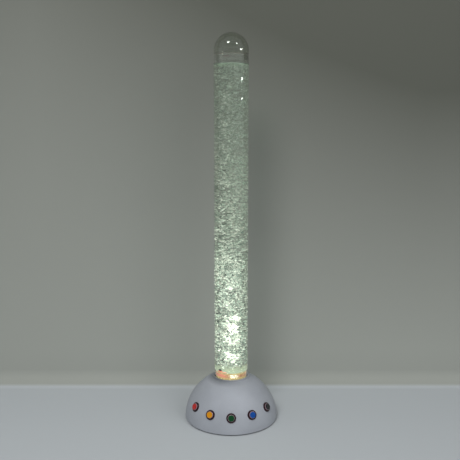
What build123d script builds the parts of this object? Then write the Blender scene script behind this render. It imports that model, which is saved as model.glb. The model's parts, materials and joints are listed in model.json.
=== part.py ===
from build123d import *

import os
from math import asin, acos, cos, degrees, radians, sin, sqrt, tan

os.makedirs("parts", exist_ok=True)

# An LED bubble tube: a clear water-filled tube that stands in a domed housing, which
# holds an air pump, a light board and five push buttons along its front.
# Millimetres, +Z up, origin on the table at the tube's axis. The front faces -Y.
# Azimuths are in degrees, 0 at the front and positive towards the right (+X).

# Shared values
overrun = 1.0  # how far a cut goes past the face that it opens
slip_gap = 0.15  # between a rigid piece and the hole it slides in
seat_gap = 0.05  # between two pieces that are pressed or screwed together
bend_share = 0.45  # share of the shorter run that a cable's bend may use

# Clear tube and its water
tube_radius = 40.0
tube_wall = 3.0
tube_length = 800.0
tube_foot = 54.0  # height of the tube's lower end
water_gap = 0.1
air_space = 20.5  # from the water's surface to the tube's top

# Air bubbles in the water, wider than they are high
bubble_count = 360
bubble_radii = (4.4, 2.6, 3.4)  # half widths, taken in turn
bubble_height_share = 0.6  # of the half width
bubble_side_angle = 80.0  # from a bubble's rim to the small flats on it
bubble_film = 0.15  # from a bubble to the water round it
bubble_wall_gap = 1.5  # from a bubble to the water's side
bubble_end_gap = 6.0  # from a bubble's centre to the plug and to the surface
golden_angle = 137.508  # degrees from one bubble to the next, seen from above

# Domed housing
dome_radius = 111.0
dome_wall = 3.0
dome_rim = 3.0  # height of the housing's lower edge above the table
rim_round = 0.8
neck_rise = 4.1  # from the dome to the neck's top
neck_skirt = 6.6  # how far the neck reaches down inside the dome
neck_wall = 3.6
neck_gap = 0.4  # between the neck and the tube
neck_flare = 2.2
neck_round = 1.2
column_radius = 4.5
column_inset = 15.3  # from the bottom plate's edge
column_azimuths = (-138.0, -42.0, 42.0, 138.0)

# Bottom plate, feet and housing screws
plate_gap = 0.5
plate_thickness = 3.0
foot_radius = 9.0
foot_inset = 17.3  # from the plate's edge
foot_count = 4
foot_recess = 1.0
foot_gap = 0.1
foot_round = 0.8
vent_count = 7
vent_gap = 10.0  # from the socket's flange
vent_spread = 66.0  # degrees
vent_length = 16.0
vent_width = 3.0
screw_radius = 1.5
screw_length = 12.0
screw_head_radius = 3.0
screw_head_height = 2.0
screw_head_gap = 0.3
cross_width = 0.8
cross_length = 3.6
cross_depth = 1.0

# Socket that holds the tube
socket_wall = 3.0
ledge_thickness = 4.0
ledge_width = 9.4
flange_width = 8.6
flange_thickness = 3.0
flange_screw_count = 4
flange_screw_inset = 4.3  # from the flange's edge
window_width = 30.0
window_height = 22.0
window_foot = 13.0

# Lamp holder and light board in the tube's foot
holder_length = 47.0
holder_wall = 3.0
holder_gap = 0.3
shelf_drop = 7.0  # from the holder's top to the shelf
shelf_thickness = 3.0
shelf_width = 3.7
led_board_gap = 0.3
led_board_hole = 8.0
board_thickness = 1.6
led_count = 12
led_inset = 9.7  # from the lamp holder's bore
led_size = 5.0
led_height = 1.2
lens_radius = 1.9
lens_height = 0.6

# Plug at the tube's foot, its seal, and the air inlet on it
plug_height = 20.0
plug_gap = 0.1
seal_height = 9.5
seal_drop = 4.0  # from the plug's top to the seal's
seal_width = 5.0
inlet_azimuth = -50.0
inlet_inset = 5.7  # from the tube's bore
inlet_tower_radius = 5.0
inlet_tower_height = 2.0
inlet_tower_round = 0.6
boot_inset = 4.4  # from the tube's bore
boot_width = 8.0
boot_sweep = 26.0  # degrees
boot_depth = 9.0
boot_gap = 0.1
valve_radius = 2.0
valve_proud = 0.6
valve_bore = 0.6
channel_radius = 1.5
channel_height = 7.0  # above the plug's underside

# Domed cap on the tube
cap_wall = 2.5
cap_skirt = 9.5
cap_seal_thickness = 1.5
spigot_length = 12.0
spigot_gap = 0.3
spigot_wall = 2.5

# Push buttons
button_names = ("red", "yellow", "green", "blue", "black")
button_pitch = 27.7  # degrees of azimuth between neighbours
button_elevations = (24.9, 22.5, 21.3, 22.5, 24.9)  # degrees, seen from the dome's centre; the row dips in front
button_travel = 1.5
button_sink = 0.15
panel_thickness = 4.4  # housing wall under the bezel
pad_radius = 12.5
bezel_radius = 11.0
bezel_height = 3.0
bezel_gap = 0.3
bezel_round = 1.2
bezel_floor = 0.6
barrel_radius = 7.9
barrel_length = 16.0
barrel_bore = 6.0
barrel_gap = 0.2
head_radius = 8.0
head_gap = 0.3
head_lift = 2.4  # from the seat to the plunger head's underside
head_height = 2.0
head_round = 0.4
stem_radius = 3.0
button_cap_radius = 7.0
button_cap_height = 2.0
button_cap_round = 0.8
peg_radius = 2.5
peg_length = 1.4
spring_radius = 4.3
spring_wire = 0.6
spring_turns = 7
spring_gap = 0.3
nut_size = 20.0  # across the flats
nut_thickness = 4.0
contact_radius = 7.2
contact_height = 6.0
terminal_width = 2.8
terminal_thickness = 0.6
terminal_length = 6.4
terminal_spacing = 6.0

# Power inlet at the rear
jack_azimuth = 180.0
jack_height = 22.0
jack_sink = 1.5
jack_panel = 3.5
jack_pad_radius = 10.0
jack_flange_radius = 7.0
jack_flange_height = 1.6
jack_flange_gap = 0.3
jack_flange_round = 0.5
jack_radius = 5.8
jack_length = 14.5
jack_bore = 2.9
jack_bore_depth = 9.5
jack_pin_radius = 1.05
jack_pin_length = 8.5
jack_nut_size = 15.0
jack_nut_thickness = 2.5

# Control board on standoffs at the right
board_y = 10.0
board_rim_gap = 15.3  # from the bottom plate's edge
board_flange_gap = 4.0  # from the socket's flange
board_length = 60.0
standoff_inset = 4.0
standoff_radius = 3.0
standoff_pilot = 1.2
standoff_height = 6.0
connector_height = 7.0
connector_depth = 8.0
connector_width = 10.0
chip_size = 10.0
chip_height = 1.8
capacitor_radius = 4.0
capacitor_height = 11.0
driver_width = 4.0
driver_length = 5.0
driver_height = 1.5
driver_count = 5
driver_pitch = 8.0
jack_connector_inset = 10.0  # from the board's near edge
button_connector_width = 14.0
led_connector_y = 14.0
pump_connector_y = -2.0
chip_shares = (0.12, 0.06)  # places on the board, from its centre, of its width and length
capacitor_shares = ((0.3, 0.33), (0.3, 0.17))
driver_row_share = 0.3
driver_shift_share = 0.1

# Air pump under the tube
pump_length = 60.0
pump_width = 36.0
pump_height = 29.0
pump_wall = 2.0
pump_round = 4.0
mount_radius = 4.0
mount_height = 3.0
mount_inset = 9.0
cover_thickness = 3.0
cover_lip = 2.0
cover_gap = 0.2
core_far = 26.0  # x of the core's back face
core_back = 6.0
core_limb = 10.0
core_half_width = 12.0
core_side_limb = 4.0
core_middle_limb = 8.0
core_floor = 4.0  # height of the cradle under the core
core_height = 16.0
coil_wall = 3.2
coil_gap = 0.2
coil_inset = 0.6
pivot_x = 3.0
pivot_y = 12.0
pivot_radius = 1.2
pivot_sink = 1.0
hub_radius = 2.8
arm_thickness = 4.0
arm_reach = 24.0
arm_height = 12.0
arm_lift = 6.0  # above the pump's floor
magnet_thickness = 2.4
magnet_width = 10.0
magnet_height = 10.0
bellows_y = -3.0
bellows_radius = 7.0
bellows_root = 5.2
bellows_wall = 0.9
bellows_folds = 3
bellows_length = 10.4
bellows_gap = 0.3
valve_box_length = 15.0
valve_box_width = 20.0
valve_box_height = 21.0
outlet_radius = 1.95
outlet_bore = 1.0
outlet_length = 10.0  # above the pump's cover
outlet_hole_gap = 0.6

# Air hose and the fitting under the plug
hose_radius = 3.0
hose_bore = 2.0
hose_gap = 0.4
fitting_flange_radius = 5.0
fitting_flange_height = 2.0
fitting_shank_radius = 3.0
fitting_stem = 10.0

# Cables
jack_cable_radius = 1.5
led_cable_radius = 1.2
pump_cable_radius = 1.1
cable_hole_gap = 0.4
cable_lead = 5.5  # straight out of a connector
jack_cable_lead = 11.0
jack_cable_azimuths = (169.1, 154.6, 140.6, 130.6)
jack_cable_insets = (33.0, 30.4, 27.0, 24.3)  # from the bottom plate's edge
jack_cable_heights = (13.0, 11.5, 12.5, 16.2)
pump_cable_y = -4.0
pump_cable_rise = 2.0  # above the core's top
pump_cable_run = 4.0  # straight into the pump
pump_cable_insets = (-4.1, 0.4)  # from the socket's bore
pump_cable_sides = (-2.5, -3.5)
pump_cable_heights = (20.5, 29.0)
led_cable_insets = (-3.6, 2.3, 2.3, 13.9, 18.9)  # from the socket's bore
led_cable_sides = (10.5, 7.0, 5.0, 3.0, 1.0)
led_cable_heights = (20.5, 28.5, 42.0, 50.0, 67.0)
led_cable_gap = 4.0  # from the emitters' circle
led_cable_rise = 13.0  # straight up to the light board
hose_lead = 14.0

# Leads from the buttons, side by side on the bottom plate
lead_radius = 0.9
lead_pitch = 2.6
lead_clearance = 0.3  # above the plate
lead_run = 18.3  # straight out of a contact block
lead_gap = 4.5  # from the socket's flange to the nearest lead
lead_swing = 9.0  # degrees from a button to where its lead comes down
lead_bends = (-28.0, 0.0, 28.0, 48.0)  # azimuths in degrees
lead_approach = 10.0  # straight into the board's connector

# Heights and radii that follow
tube_bore = tube_radius - tube_wall
tube_top = tube_foot + tube_length
water_level = tube_top - air_space
water_radius = tube_bore - water_gap
bubble_reach = water_radius - bubble_wall_gap - max(bubble_radii)
dome_inner = dome_radius - dome_wall
neck_bore = tube_radius + neck_gap
neck_radius = neck_bore + neck_wall
neck_join = sqrt(dome_radius**2 - neck_radius**2)
neck_top = neck_join + neck_rise
socket_top = sqrt(dome_inner**2 - neck_radius**2) - neck_skirt
plate_foot = dome_rim
plate_top = plate_foot + plate_thickness
plate_radius = sqrt(dome_inner**2 - plate_top**2) - plate_gap
column_circle = plate_radius - column_inset
foot_circle = plate_radius - foot_inset
socket_bore = neck_bore
socket_radius = socket_bore + socket_wall
socket_ledge_hole = socket_bore - ledge_width
flange_radius = socket_radius + flange_width
vent_circle = flange_radius + vent_gap + vent_length / 2
flange_top = plate_top + flange_thickness
flange_screw_circle = flange_radius - flange_screw_inset
holder_radius = tube_bore - holder_gap
holder_bore = holder_radius - holder_wall
led_circle = holder_bore - led_inset
inlet_circle = tube_bore - inlet_inset
boot_circle = tube_bore - boot_inset
plug_foot = tube_foot + holder_length
plug_top = plug_foot + plug_height
plug_radius = tube_bore - plug_gap
seal_top = plug_top - seal_drop
seal_foot = seal_top - seal_height
seal_bore = plug_radius - seal_width
shelf_top = plug_foot - shelf_drop
led_board_top = shelf_top + board_thickness
button_seat = sqrt(dome_radius**2 - (bezel_radius + bezel_gap)**2) - button_sink
button_pad = button_seat - panel_thickness
button_hole = barrel_radius + barrel_gap
contact_face = button_seat - barrel_length
contact_back = contact_face - contact_height
jack_elevation = degrees(asin(jack_height / dome_radius))
jack_seat = dome_radius - jack_sink
jack_pad = jack_seat - jack_panel
jack_back = jack_seat - jack_length
board_foot = plate_top + standoff_height
board_top = board_foot + board_thickness
board_near = flange_radius + board_flange_gap
board_width = plate_radius - board_rim_gap - board_near
board_x = board_near + board_width / 2
board_front = board_y - board_length / 2
board_rear = board_y + board_length / 2
cap_foot = tube_top + cap_seal_thickness
cap_centre = cap_foot + cap_skirt
cap_inner = tube_radius - cap_wall
spigot_radius = tube_bore - spigot_gap
spigot_bore = spigot_radius - spigot_wall
pump_foot = plate_top + mount_height
pump_floor = pump_foot + pump_wall
pump_top = pump_foot + pump_height
cover_top = pump_top + cover_thickness
core_foot = pump_floor + core_floor
core_top = core_foot + core_height
core_poles = core_far - core_back - core_limb
coil_end = core_far - core_back - seat_gap
arm_foot = pump_floor + arm_lift
arm_face = pivot_x - arm_thickness / 2
bellows_z = arm_foot + arm_height / 2
bellows_near = arm_face - bellows_gap
bellows_far = bellows_near - bellows_length
outlet_x = bellows_far - valve_box_length / 2
outlet_top = cover_top + outlet_length
cable_height = board_top + connector_height / 2
jack_connector_x = board_near + jack_connector_inset
pump_cable_z = core_top + pump_cable_rise
led_cable_x = led_circle - led_cable_gap
lead_height = plate_top + lead_clearance + lead_radius


def polar(radius, azimuth):
    """A point on the level circle of that radius, seen from the tube's axis."""
    angle = radians(azimuth)
    return (radius * sin(angle), -radius * cos(angle))


def outward_plane(azimuth, elevation):
    """A plane at the dome's centre that faces out along that direction, its x axis level."""
    across, up = radians(azimuth), radians(elevation)
    facing = (cos(up) * sin(across), -cos(up) * cos(across), sin(up))
    return Plane(origin=(0, 0, 0), x_dir=(cos(across), sin(across), 0), z_dir=facing)


def circle_edge(part, radius, height):
    """The level circular edge of the part that is nearest that radius and height."""
    def miss(edge):
        return abs(edge.radius - radius) + abs(edge.arc_center.Z - height)

    return part.edges().filter_by(GeomType.CIRCLE).sort_by(miss)[0]


def end_edge(part, plane, last=True):
    """The edge of the part that lies furthest along the plane's normal, or least far."""
    edges = part.edges().sort_by(Axis(plane.origin, plane.z_dir))
    return edges[-1] if last else edges[0]


def bend_radii(points):
    """The largest bend that each corner of a cable's route allows, for the runs beside it."""
    corners = [Vector(*point) for point in points]
    radii = []
    for before, corner, after in zip(corners, corners[1:], corners[2:]):
        run_in, run_out = corner - before, after - corner
        shorter = min(run_in.length, run_out.length)
        half_turn = radians(run_in.get_angle(run_out) / 2)
        radii.append(bend_share * shorter / tan(half_turn))
    return radii


def tube_along(points, radius, bore, name):
    """A round cable or hose along a route of straight runs and tangent bends."""
    radii = bend_radii(points)
    print(name, "bend radii", [round(value, 1) for value in radii])
    with BuildPart() as run:
        with BuildLine() as route:
            FilletPolyline(*points, radius=radii)
        with BuildSketch(Plane(origin=route.line @ 0, z_dir=route.line % 0)) as section:
            Circle(radius)
            if bore:
                Circle(bore, mode=Mode.SUBTRACT)
        sweep(sections=section.sketch, path=route.line)
    length = route.wires()[0].length
    volume_share = run.part.volume / (section.sketch.area * length)
    print(name, "length", round(length, 1), "volume share", round(volume_share, 4))
    return run.part


def cross_outline(height, places):
    """Outline of the cross recesses in screw heads whose faces lie at that height."""
    with BuildSketch(Plane.XY.offset(height)) as crosses:
        with Locations(*places):
            Rectangle(cross_length, cross_width)
            Rectangle(cross_width, cross_length)
    return crosses.sketch


button_azimuths = [button_pitch * (index - (len(button_names) - 1) / 2) for index in range(len(button_names))]
button_planes = [outward_plane(*facing) for facing in zip(button_azimuths, button_elevations)]
jack_plane = outward_plane(jack_azimuth, jack_elevation)
column_places = [polar(column_circle, azimuth) for azimuth in column_azimuths]
board_corners = [
    (board_x + side * (board_width / 2 - standoff_inset), board_y + end * (board_length / 2 - standoff_inset))
    for side in (-1, 1)
    for end in (-1, 1)
]

# Screw columns under the dome, cut to end inside its wall
with BuildPart() as columns:
    with BuildSketch(Plane.XY.offset(plate_top)):
        with Locations(*column_places):
            Circle(column_radius)
    extrude(amount=dome_radius)
    Sphere(dome_radius - dome_wall / 2, mode=Mode.INTERSECT)

# Domed housing with its neck, button pads and rear pad
with BuildPart() as dome:
    with BuildSketch(Plane.XZ) as dome_profile:
        with BuildLine():
            rim_angle = degrees(asin(dome_rim / dome_radius))
            neck_angle = degrees(acos(neck_radius / dome_radius))
            outer = CenterArc((0, 0), dome_radius, rim_angle, neck_angle - rim_angle)
            inner_rim = degrees(asin(dome_rim / dome_inner))
            inner_neck = degrees(acos(neck_radius / dome_inner))
            inner = CenterArc((0, 0), dome_inner, inner_rim, inner_neck - inner_rim)
            Polyline(
                outer @ 1,
                (neck_radius, neck_top),
                (neck_bore, neck_top),
                (neck_bore, socket_top),
                (neck_radius, socket_top),
                inner @ 1,
            )
            Line(inner @ 0, outer @ 0)
        make_face()
    revolve(axis=Axis.Z)
    fillet(circle_edge(dome, neck_radius, neck_join), radius=neck_flare)
    fillet(circle_edge(dome, neck_radius, neck_top), radius=neck_round)
    fillet(circle_edge(dome, sqrt(dome_radius**2 - dome_rim**2), dome_rim), radius=rim_round)
    add(columns.part)
    for plane in button_planes:
        with BuildSketch(plane.offset(button_pad)):
            Circle(pad_radius)
        extrude(amount=panel_thickness - button_sink - dome_wall / 4)
    with BuildSketch(jack_plane.offset(jack_pad)):
        Circle(jack_pad_radius)
    extrude(amount=jack_panel - dome_wall / 4)
    for plane in button_planes:
        with BuildSketch(plane.offset(button_seat)):
            Circle(bezel_radius + bezel_gap)
        extrude(amount=dome_wall, mode=Mode.SUBTRACT)
        with BuildSketch(plane.offset(button_pad - overrun)):
            Circle(button_hole)
        extrude(amount=panel_thickness + dome_wall, mode=Mode.SUBTRACT)
    with BuildSketch(jack_plane.offset(jack_seat)):
        Circle(jack_flange_radius + jack_flange_gap)
    extrude(amount=dome_wall, mode=Mode.SUBTRACT)
    with BuildSketch(jack_plane.offset(jack_pad - overrun)):
        Circle(jack_radius + barrel_gap)
    extrude(amount=jack_panel + dome_wall, mode=Mode.SUBTRACT)
    with BuildSketch(Plane.XY.offset(plate_top - overrun)):
        with Locations(*column_places):
            Circle(screw_radius + seat_gap)
    extrude(amount=screw_length + overrun, mode=Mode.SUBTRACT)
dome.part.label = "dome_housing"
export_step(dome.part, "parts/dome_housing.step")

# Bottom plate with standoffs, foot recesses, screw holes and vents
with BuildPart() as plate:
    with BuildSketch(Plane.XY.offset(plate_foot)):
        Circle(plate_radius)
    extrude(amount=plate_thickness)
    with BuildSketch(Plane.XY.offset(plate_top)):
        with Locations(*board_corners):
            Circle(standoff_radius)
            Circle(standoff_pilot, mode=Mode.SUBTRACT)
    extrude(amount=standoff_height)
    with BuildSketch(Plane.XY.offset(plate_foot)):
        with PolarLocations(foot_circle, foot_count):
            Circle(foot_radius + foot_gap)
    extrude(amount=foot_recess, mode=Mode.SUBTRACT)
    with BuildSketch(Plane.XY.offset(plate_foot)):
        with Locations(*column_places):
            Circle(screw_head_radius + screw_head_gap)
    extrude(amount=screw_head_height, mode=Mode.SUBTRACT)
    with BuildSketch(Plane.XY.offset(plate_foot)):
        with Locations(*column_places):
            Circle(screw_radius + slip_gap)
        with PolarLocations(flange_screw_circle, flange_screw_count, start_angle=180 / flange_screw_count):
            Circle(screw_radius + seat_gap)
        vent_start = 180 - vent_spread / 2
        vent_step = vent_spread / (vent_count - 1)
        for index in range(vent_count):
            with PolarLocations(vent_circle, 1, start_angle=vent_start + index * vent_step):
                SlotOverall(vent_length, vent_width)
    extrude(amount=plate_thickness, mode=Mode.SUBTRACT)
plate.part.label = "bottom_plate"
export_step(plate.part, "parts/bottom_plate.step")

# Rubber feet, set in the plate's recesses
with BuildPart() as feet:
    with BuildSketch(Plane.XY):
        with PolarLocations(foot_circle, foot_count):
            Circle(foot_radius)
    extrude(amount=plate_foot + foot_recess)
    fillet(feet.edges().group_by(Axis.Z)[0], radius=foot_round)
feet.part.label = "rubber_feet"
export_step(feet.part, "parts/rubber_feet.step")

# Screws that hold the plate to the housing's columns
with BuildPart() as housing_screws:
    with BuildSketch(Plane.XY.offset(plate_foot)):
        with Locations(*column_places):
            Circle(screw_head_radius)
    extrude(amount=screw_head_height)
    with BuildSketch(Plane.XY.offset(plate_foot + screw_head_height)):
        with Locations(*column_places):
            Circle(screw_radius)
    extrude(amount=screw_length)
    extrude(cross_outline(plate_foot, column_places), amount=cross_depth, mode=Mode.SUBTRACT)
housing_screws.part.label = "housing_screws"
export_step(housing_screws.part, "parts/housing_screws.step")

# Socket that carries the tube on a ledge
with BuildPart() as socket:
    with BuildSketch(Plane.XZ):
        with BuildLine():
            Polyline(
                (socket_bore, plate_top),
                (flange_radius, plate_top),
                (flange_radius, flange_top),
                (socket_radius, flange_top),
                (socket_radius, socket_top),
                (socket_bore, socket_top),
                (socket_bore, tube_foot),
                (socket_ledge_hole, tube_foot),
                (socket_ledge_hole, tube_foot - ledge_thickness),
                (socket_bore, tube_foot - ledge_thickness),
                close=True,
            )
        make_face()
    revolve(axis=Axis.Z)
    with BuildSketch(Plane.YZ):
        with Locations((0, window_foot + window_height / 2)):
            Rectangle(window_width, window_height)
    extrude(amount=flange_radius, both=True, mode=Mode.SUBTRACT)
    with BuildSketch(Plane.XY.offset(plate_top)):
        with PolarLocations(flange_screw_circle, flange_screw_count, start_angle=180 / flange_screw_count):
            Circle(screw_radius + slip_gap)
    extrude(amount=flange_thickness, mode=Mode.SUBTRACT)
socket.part.label = "tube_socket"
export_step(socket.part, "parts/tube_socket.step")

# Screws through the socket's flange into the plate
with BuildPart() as socket_screws:
    with BuildSketch(Plane.XY.offset(flange_top)):
        with PolarLocations(flange_screw_circle, flange_screw_count, start_angle=180 / flange_screw_count):
            Circle(screw_head_radius)
    extrude(amount=screw_head_height)
    with BuildSketch(Plane.XY.offset(plate_foot)):
        with PolarLocations(flange_screw_circle, flange_screw_count, start_angle=180 / flange_screw_count):
            Circle(screw_radius)
    extrude(amount=flange_top - plate_foot)
    flange_places = [
        polar(flange_screw_circle, 360 * (index + 0.5) / flange_screw_count) for index in range(flange_screw_count)
    ]
    screw_face = flange_top + screw_head_height
    extrude(cross_outline(screw_face, flange_places), amount=-cross_depth, mode=Mode.SUBTRACT)
socket_screws.part.label = "socket_screws"
export_step(socket_screws.part, "parts/socket_screws.step")

# Clear tube
with BuildPart() as tube:
    with BuildSketch(Plane.XY.offset(tube_foot)):
        Circle(tube_radius)
        Circle(tube_bore, mode=Mode.SUBTRACT)
    extrude(amount=tube_length)
tube.part.label = "clear_tube"
export_step(tube.part, "parts/clear_tube.step")

# White lamp holder, a sleeve in the tube's foot with a shelf for the light board
with BuildPart() as holder:
    with BuildSketch(Plane.XZ):
        with BuildLine():
            Polyline(
                (holder_bore, tube_foot),
                (holder_radius, tube_foot),
                (holder_radius, plug_foot),
                (holder_bore, plug_foot),
                (holder_bore, shelf_top),
                (holder_bore - shelf_width, shelf_top),
                (holder_bore - shelf_width, shelf_top - shelf_thickness),
                (holder_bore, shelf_top - shelf_thickness),
                close=True,
            )
        make_face()
    revolve(axis=Axis.Z)
holder.part.label = "lamp_holder"
export_step(holder.part, "parts/lamp_holder.step")

# Ring-shaped light board and its emitters
with BuildPart() as led_board:
    with BuildSketch(Plane.XY.offset(shelf_top)):
        Circle(holder_bore - led_board_gap)
        Circle(led_board_hole, mode=Mode.SUBTRACT)
    extrude(amount=board_thickness)
led_board.part.label = "led_board"
export_step(led_board.part, "parts/led_board.step")

with BuildPart() as emitters:
    with BuildSketch(Plane.XY.offset(led_board_top)):
        with PolarLocations(led_circle, led_count):
            Rectangle(led_size, led_size)
    extrude(amount=led_height)
    with BuildSketch(Plane.XY.offset(led_board_top + led_height)):
        with PolarLocations(led_circle, led_count):
            Circle(lens_radius)
    extrude(amount=lens_height)
emitters.part.label = "led_emitters"
export_step(emitters.part, "parts/led_emitters.step")

# Air inlet: a boot of silicone set into the plug's edge, with a short tower on it
inlet_place = polar(inlet_circle, inlet_azimuth)
boot_start = inlet_azimuth - 90


def boot_outline(gap):
    """Outline of the boot's foot, grown all round by the gap."""
    with BuildSketch(Plane.XY.offset(plug_top - boot_depth)) as outline:
        SlotArc(CenterArc((0, 0), boot_circle, boot_start, boot_sweep), boot_width + 2 * gap)
    return outline.sketch


with BuildPart() as inlet:
    extrude(boot_outline(0), amount=boot_depth)
    with BuildSketch(Plane.XY.offset(plug_top - boot_depth)):
        with Locations(inlet_place):
            Circle(inlet_tower_radius)
    extrude(amount=boot_depth + inlet_tower_height)
    fillet(inlet.edges().filter_by(GeomType.CIRCLE).sort_by(Axis.Z)[-1], radius=inlet_tower_round)
    with BuildSketch(Plane.XY.offset(plug_top - boot_depth)):
        with Locations(inlet_place):
            Circle(valve_radius)
    extrude(amount=boot_depth + inlet_tower_height, mode=Mode.SUBTRACT)
inlet.part.label = "air_inlet"
export_step(inlet.part, "parts/air_inlet.step")

# Black one-way valve pressed into the inlet
with BuildPart() as inlet_valve:
    with BuildSketch(Plane.XY.offset(plug_top - boot_depth)):
        with Locations(inlet_place):
            Circle(valve_radius - seat_gap)
            Circle(valve_bore, mode=Mode.SUBTRACT)
    extrude(amount=boot_depth + inlet_tower_height + valve_proud)
inlet_valve.part.label = "inlet_valve"
export_step(inlet_valve.part, "parts/inlet_valve.step")

# The pocket that the boot and its tower need in the plug, the seal and the water
with BuildPart() as inlet_pocket:
    extrude(boot_outline(boot_gap), amount=boot_depth)
    with BuildSketch(Plane.XY.offset(plug_top - boot_depth)):
        with Locations(inlet_place):
            Circle(inlet_tower_radius + boot_gap)
    extrude(amount=boot_depth + inlet_tower_height + valve_proud + boot_gap)

# Clear plug, grooved for its seal, with the air channel drilled from its centre out to the inlet
with BuildPart() as plug:
    with BuildSketch(Plane.XY.offset(plug_foot)):
        Circle(plug_radius)
    extrude(amount=plug_height)
    with BuildSketch(Plane.XY.offset(seal_foot)):
        Circle(plug_radius + overrun)
        Circle(seal_bore, mode=Mode.SUBTRACT)
    extrude(amount=seal_height, mode=Mode.SUBTRACT)
    add(inlet_pocket.part, mode=Mode.SUBTRACT)
    with BuildSketch(Plane.XY.offset(plug_foot)):
        Circle(fitting_shank_radius + seat_gap)
    extrude(amount=channel_height + channel_radius, mode=Mode.SUBTRACT)
    channel_plane = outward_plane(inlet_azimuth, 0)
    channel_plane.origin = Vector(0, 0, plug_foot + channel_height)
    with BuildSketch(channel_plane):
        Circle(channel_radius)
    extrude(amount=inlet_circle, mode=Mode.SUBTRACT)
    with BuildSketch(Plane.XY.offset(plug_foot + channel_height)):
        with Locations(inlet_place):
            Circle(channel_radius)
    extrude(amount=plug_height - channel_height - boot_depth + overrun, mode=Mode.SUBTRACT)
plug.part.label = "tube_plug"
export_step(plug.part, "parts/tube_plug.step")

# Orange seal cast in the plug's groove
with BuildPart() as seal:
    with BuildSketch(Plane.XY.offset(seal_foot)):
        Circle(tube_bore - seat_gap)
        Circle(seal_bore, mode=Mode.SUBTRACT)
    extrude(amount=seal_height)
    add(inlet_pocket.part, mode=Mode.SUBTRACT)
seal.part.label = "plug_seal"
export_step(seal.part, "parts/plug_seal.step")

# Fitting that takes the hose into the plug
with BuildPart() as fitting:
    with BuildSketch(Plane.XY.offset(plug_foot - fitting_flange_height)):
        Circle(fitting_flange_radius)
    extrude(amount=fitting_flange_height)
    with BuildSketch(Plane.XY.offset(plug_foot)):
        Circle(fitting_shank_radius)
    extrude(amount=channel_height - channel_radius)
    with BuildSketch(Plane.XY.offset(plug_foot - fitting_flange_height)):
        Circle(hose_bore - seat_gap)
    extrude(amount=-fitting_stem)
    with BuildSketch(Plane.XY.offset(plug_foot - fitting_flange_height - fitting_stem)):
        Circle(outlet_bore)
    extrude(amount=fitting_stem + fitting_flange_height + channel_height, mode=Mode.SUBTRACT)
fitting.part.label = "air_fitting"
export_step(fitting.part, "parts/air_fitting.step")

# Bubbles, each a little higher than the last and turned on by the golden angle
bubble_rise = (water_level - plug_top - 2 * bubble_end_gap) / bubble_count
bubble_places = [
    (
        *polar(bubble_reach * sqrt(index * sqrt(2) % 1), golden_angle * index),
        plug_top + bubble_end_gap + (index + 0.5) * bubble_rise,
    )
    for index in range(bubble_count)
]


def bubble_shape(radius, gap):
    """A bubble flattened by its rise, with a small flat above and below, grown all round by the gap."""
    with BuildPart() as shape:
        with BuildSketch(Plane.XZ):
            with BuildLine():
                half_height = bubble_height_share * radius + gap
                side = EllipticalCenterArc(
                    (0, 0), radius + gap, half_height, -bubble_side_angle, arc_size=2 * bubble_side_angle
                )
                Polyline(side @ 1, (0, (side @ 1).Y), (0, (side @ 0).Y), side @ 0)
            make_face()
        revolve(axis=Axis.Z)
    return shape.part


bubble_shapes = [bubble_shape(radius, 0) for radius in bubble_radii]
bubble_hollows = [bubble_shape(radius, bubble_film) for radius in bubble_radii]
bubble_groups = [bubble_places[turn :: len(bubble_radii)] for turn in range(len(bubble_radii))]
bubble_spacing = min(
    (Vector(*later) - Vector(*earlier)).length
    for index, earlier in enumerate(bubble_places)
    for later in bubble_places[index + 1 :]
)
print("bubbles: least distance between centres", round(bubble_spacing, 2))

with BuildPart() as bubbles:
    for shape, places in zip(bubble_shapes, bubble_groups):
        with Locations(*places):
            add(shape)

# Water in the tube, with a hollow for each bubble
with BuildPart() as water:
    with BuildSketch(Plane.XY.offset(plug_top)):
        Circle(water_radius)
    extrude(amount=water_level - plug_top)
    add(inlet_pocket.part, mode=Mode.SUBTRACT)
    for hollow, places in zip(bubble_hollows, bubble_groups):
        with Locations(*places):
            add(hollow, mode=Mode.SUBTRACT)
water_column = Compound(children=[*water.part.solids(), *bubbles.part.solids()])
water_column.label = "water_column"
export_step(water_column, "parts/water_column.step")

# Domed clear cap with a spigot that drops into the tube
with BuildPart() as cap:
    with BuildSketch(Plane.XZ):
        with BuildLine():
            cap_outer = CenterArc((0, cap_centre), tube_radius, 0, 90)
            cap_hollow = CenterArc((0, cap_centre), cap_inner, 0, 90)
            Line(cap_outer @ 1, cap_hollow @ 1)
            Polyline(
                cap_outer @ 0,
                (tube_radius, cap_foot),
                (spigot_radius, cap_foot),
                (spigot_radius, tube_top - spigot_length),
                (spigot_bore, tube_top - spigot_length),
                (spigot_bore, cap_foot + cap_wall),
                (cap_inner, cap_foot + cap_wall),
                cap_hollow @ 0,
            )
        make_face()
    revolve(axis=Axis.Z)
cap.part.label = "top_cap"
export_step(cap.part, "parts/top_cap.step")

# Orange flat seal under the cap's edge
with BuildPart() as cap_seal:
    with BuildSketch(Plane.XY.offset(tube_top)):
        Circle(tube_radius)
        Circle(spigot_radius + slip_gap, mode=Mode.SUBTRACT)
    extrude(amount=cap_seal_thickness)
cap_seal.part.label = "cap_seal"
export_step(cap_seal.part, "parts/cap_seal.step")


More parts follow.
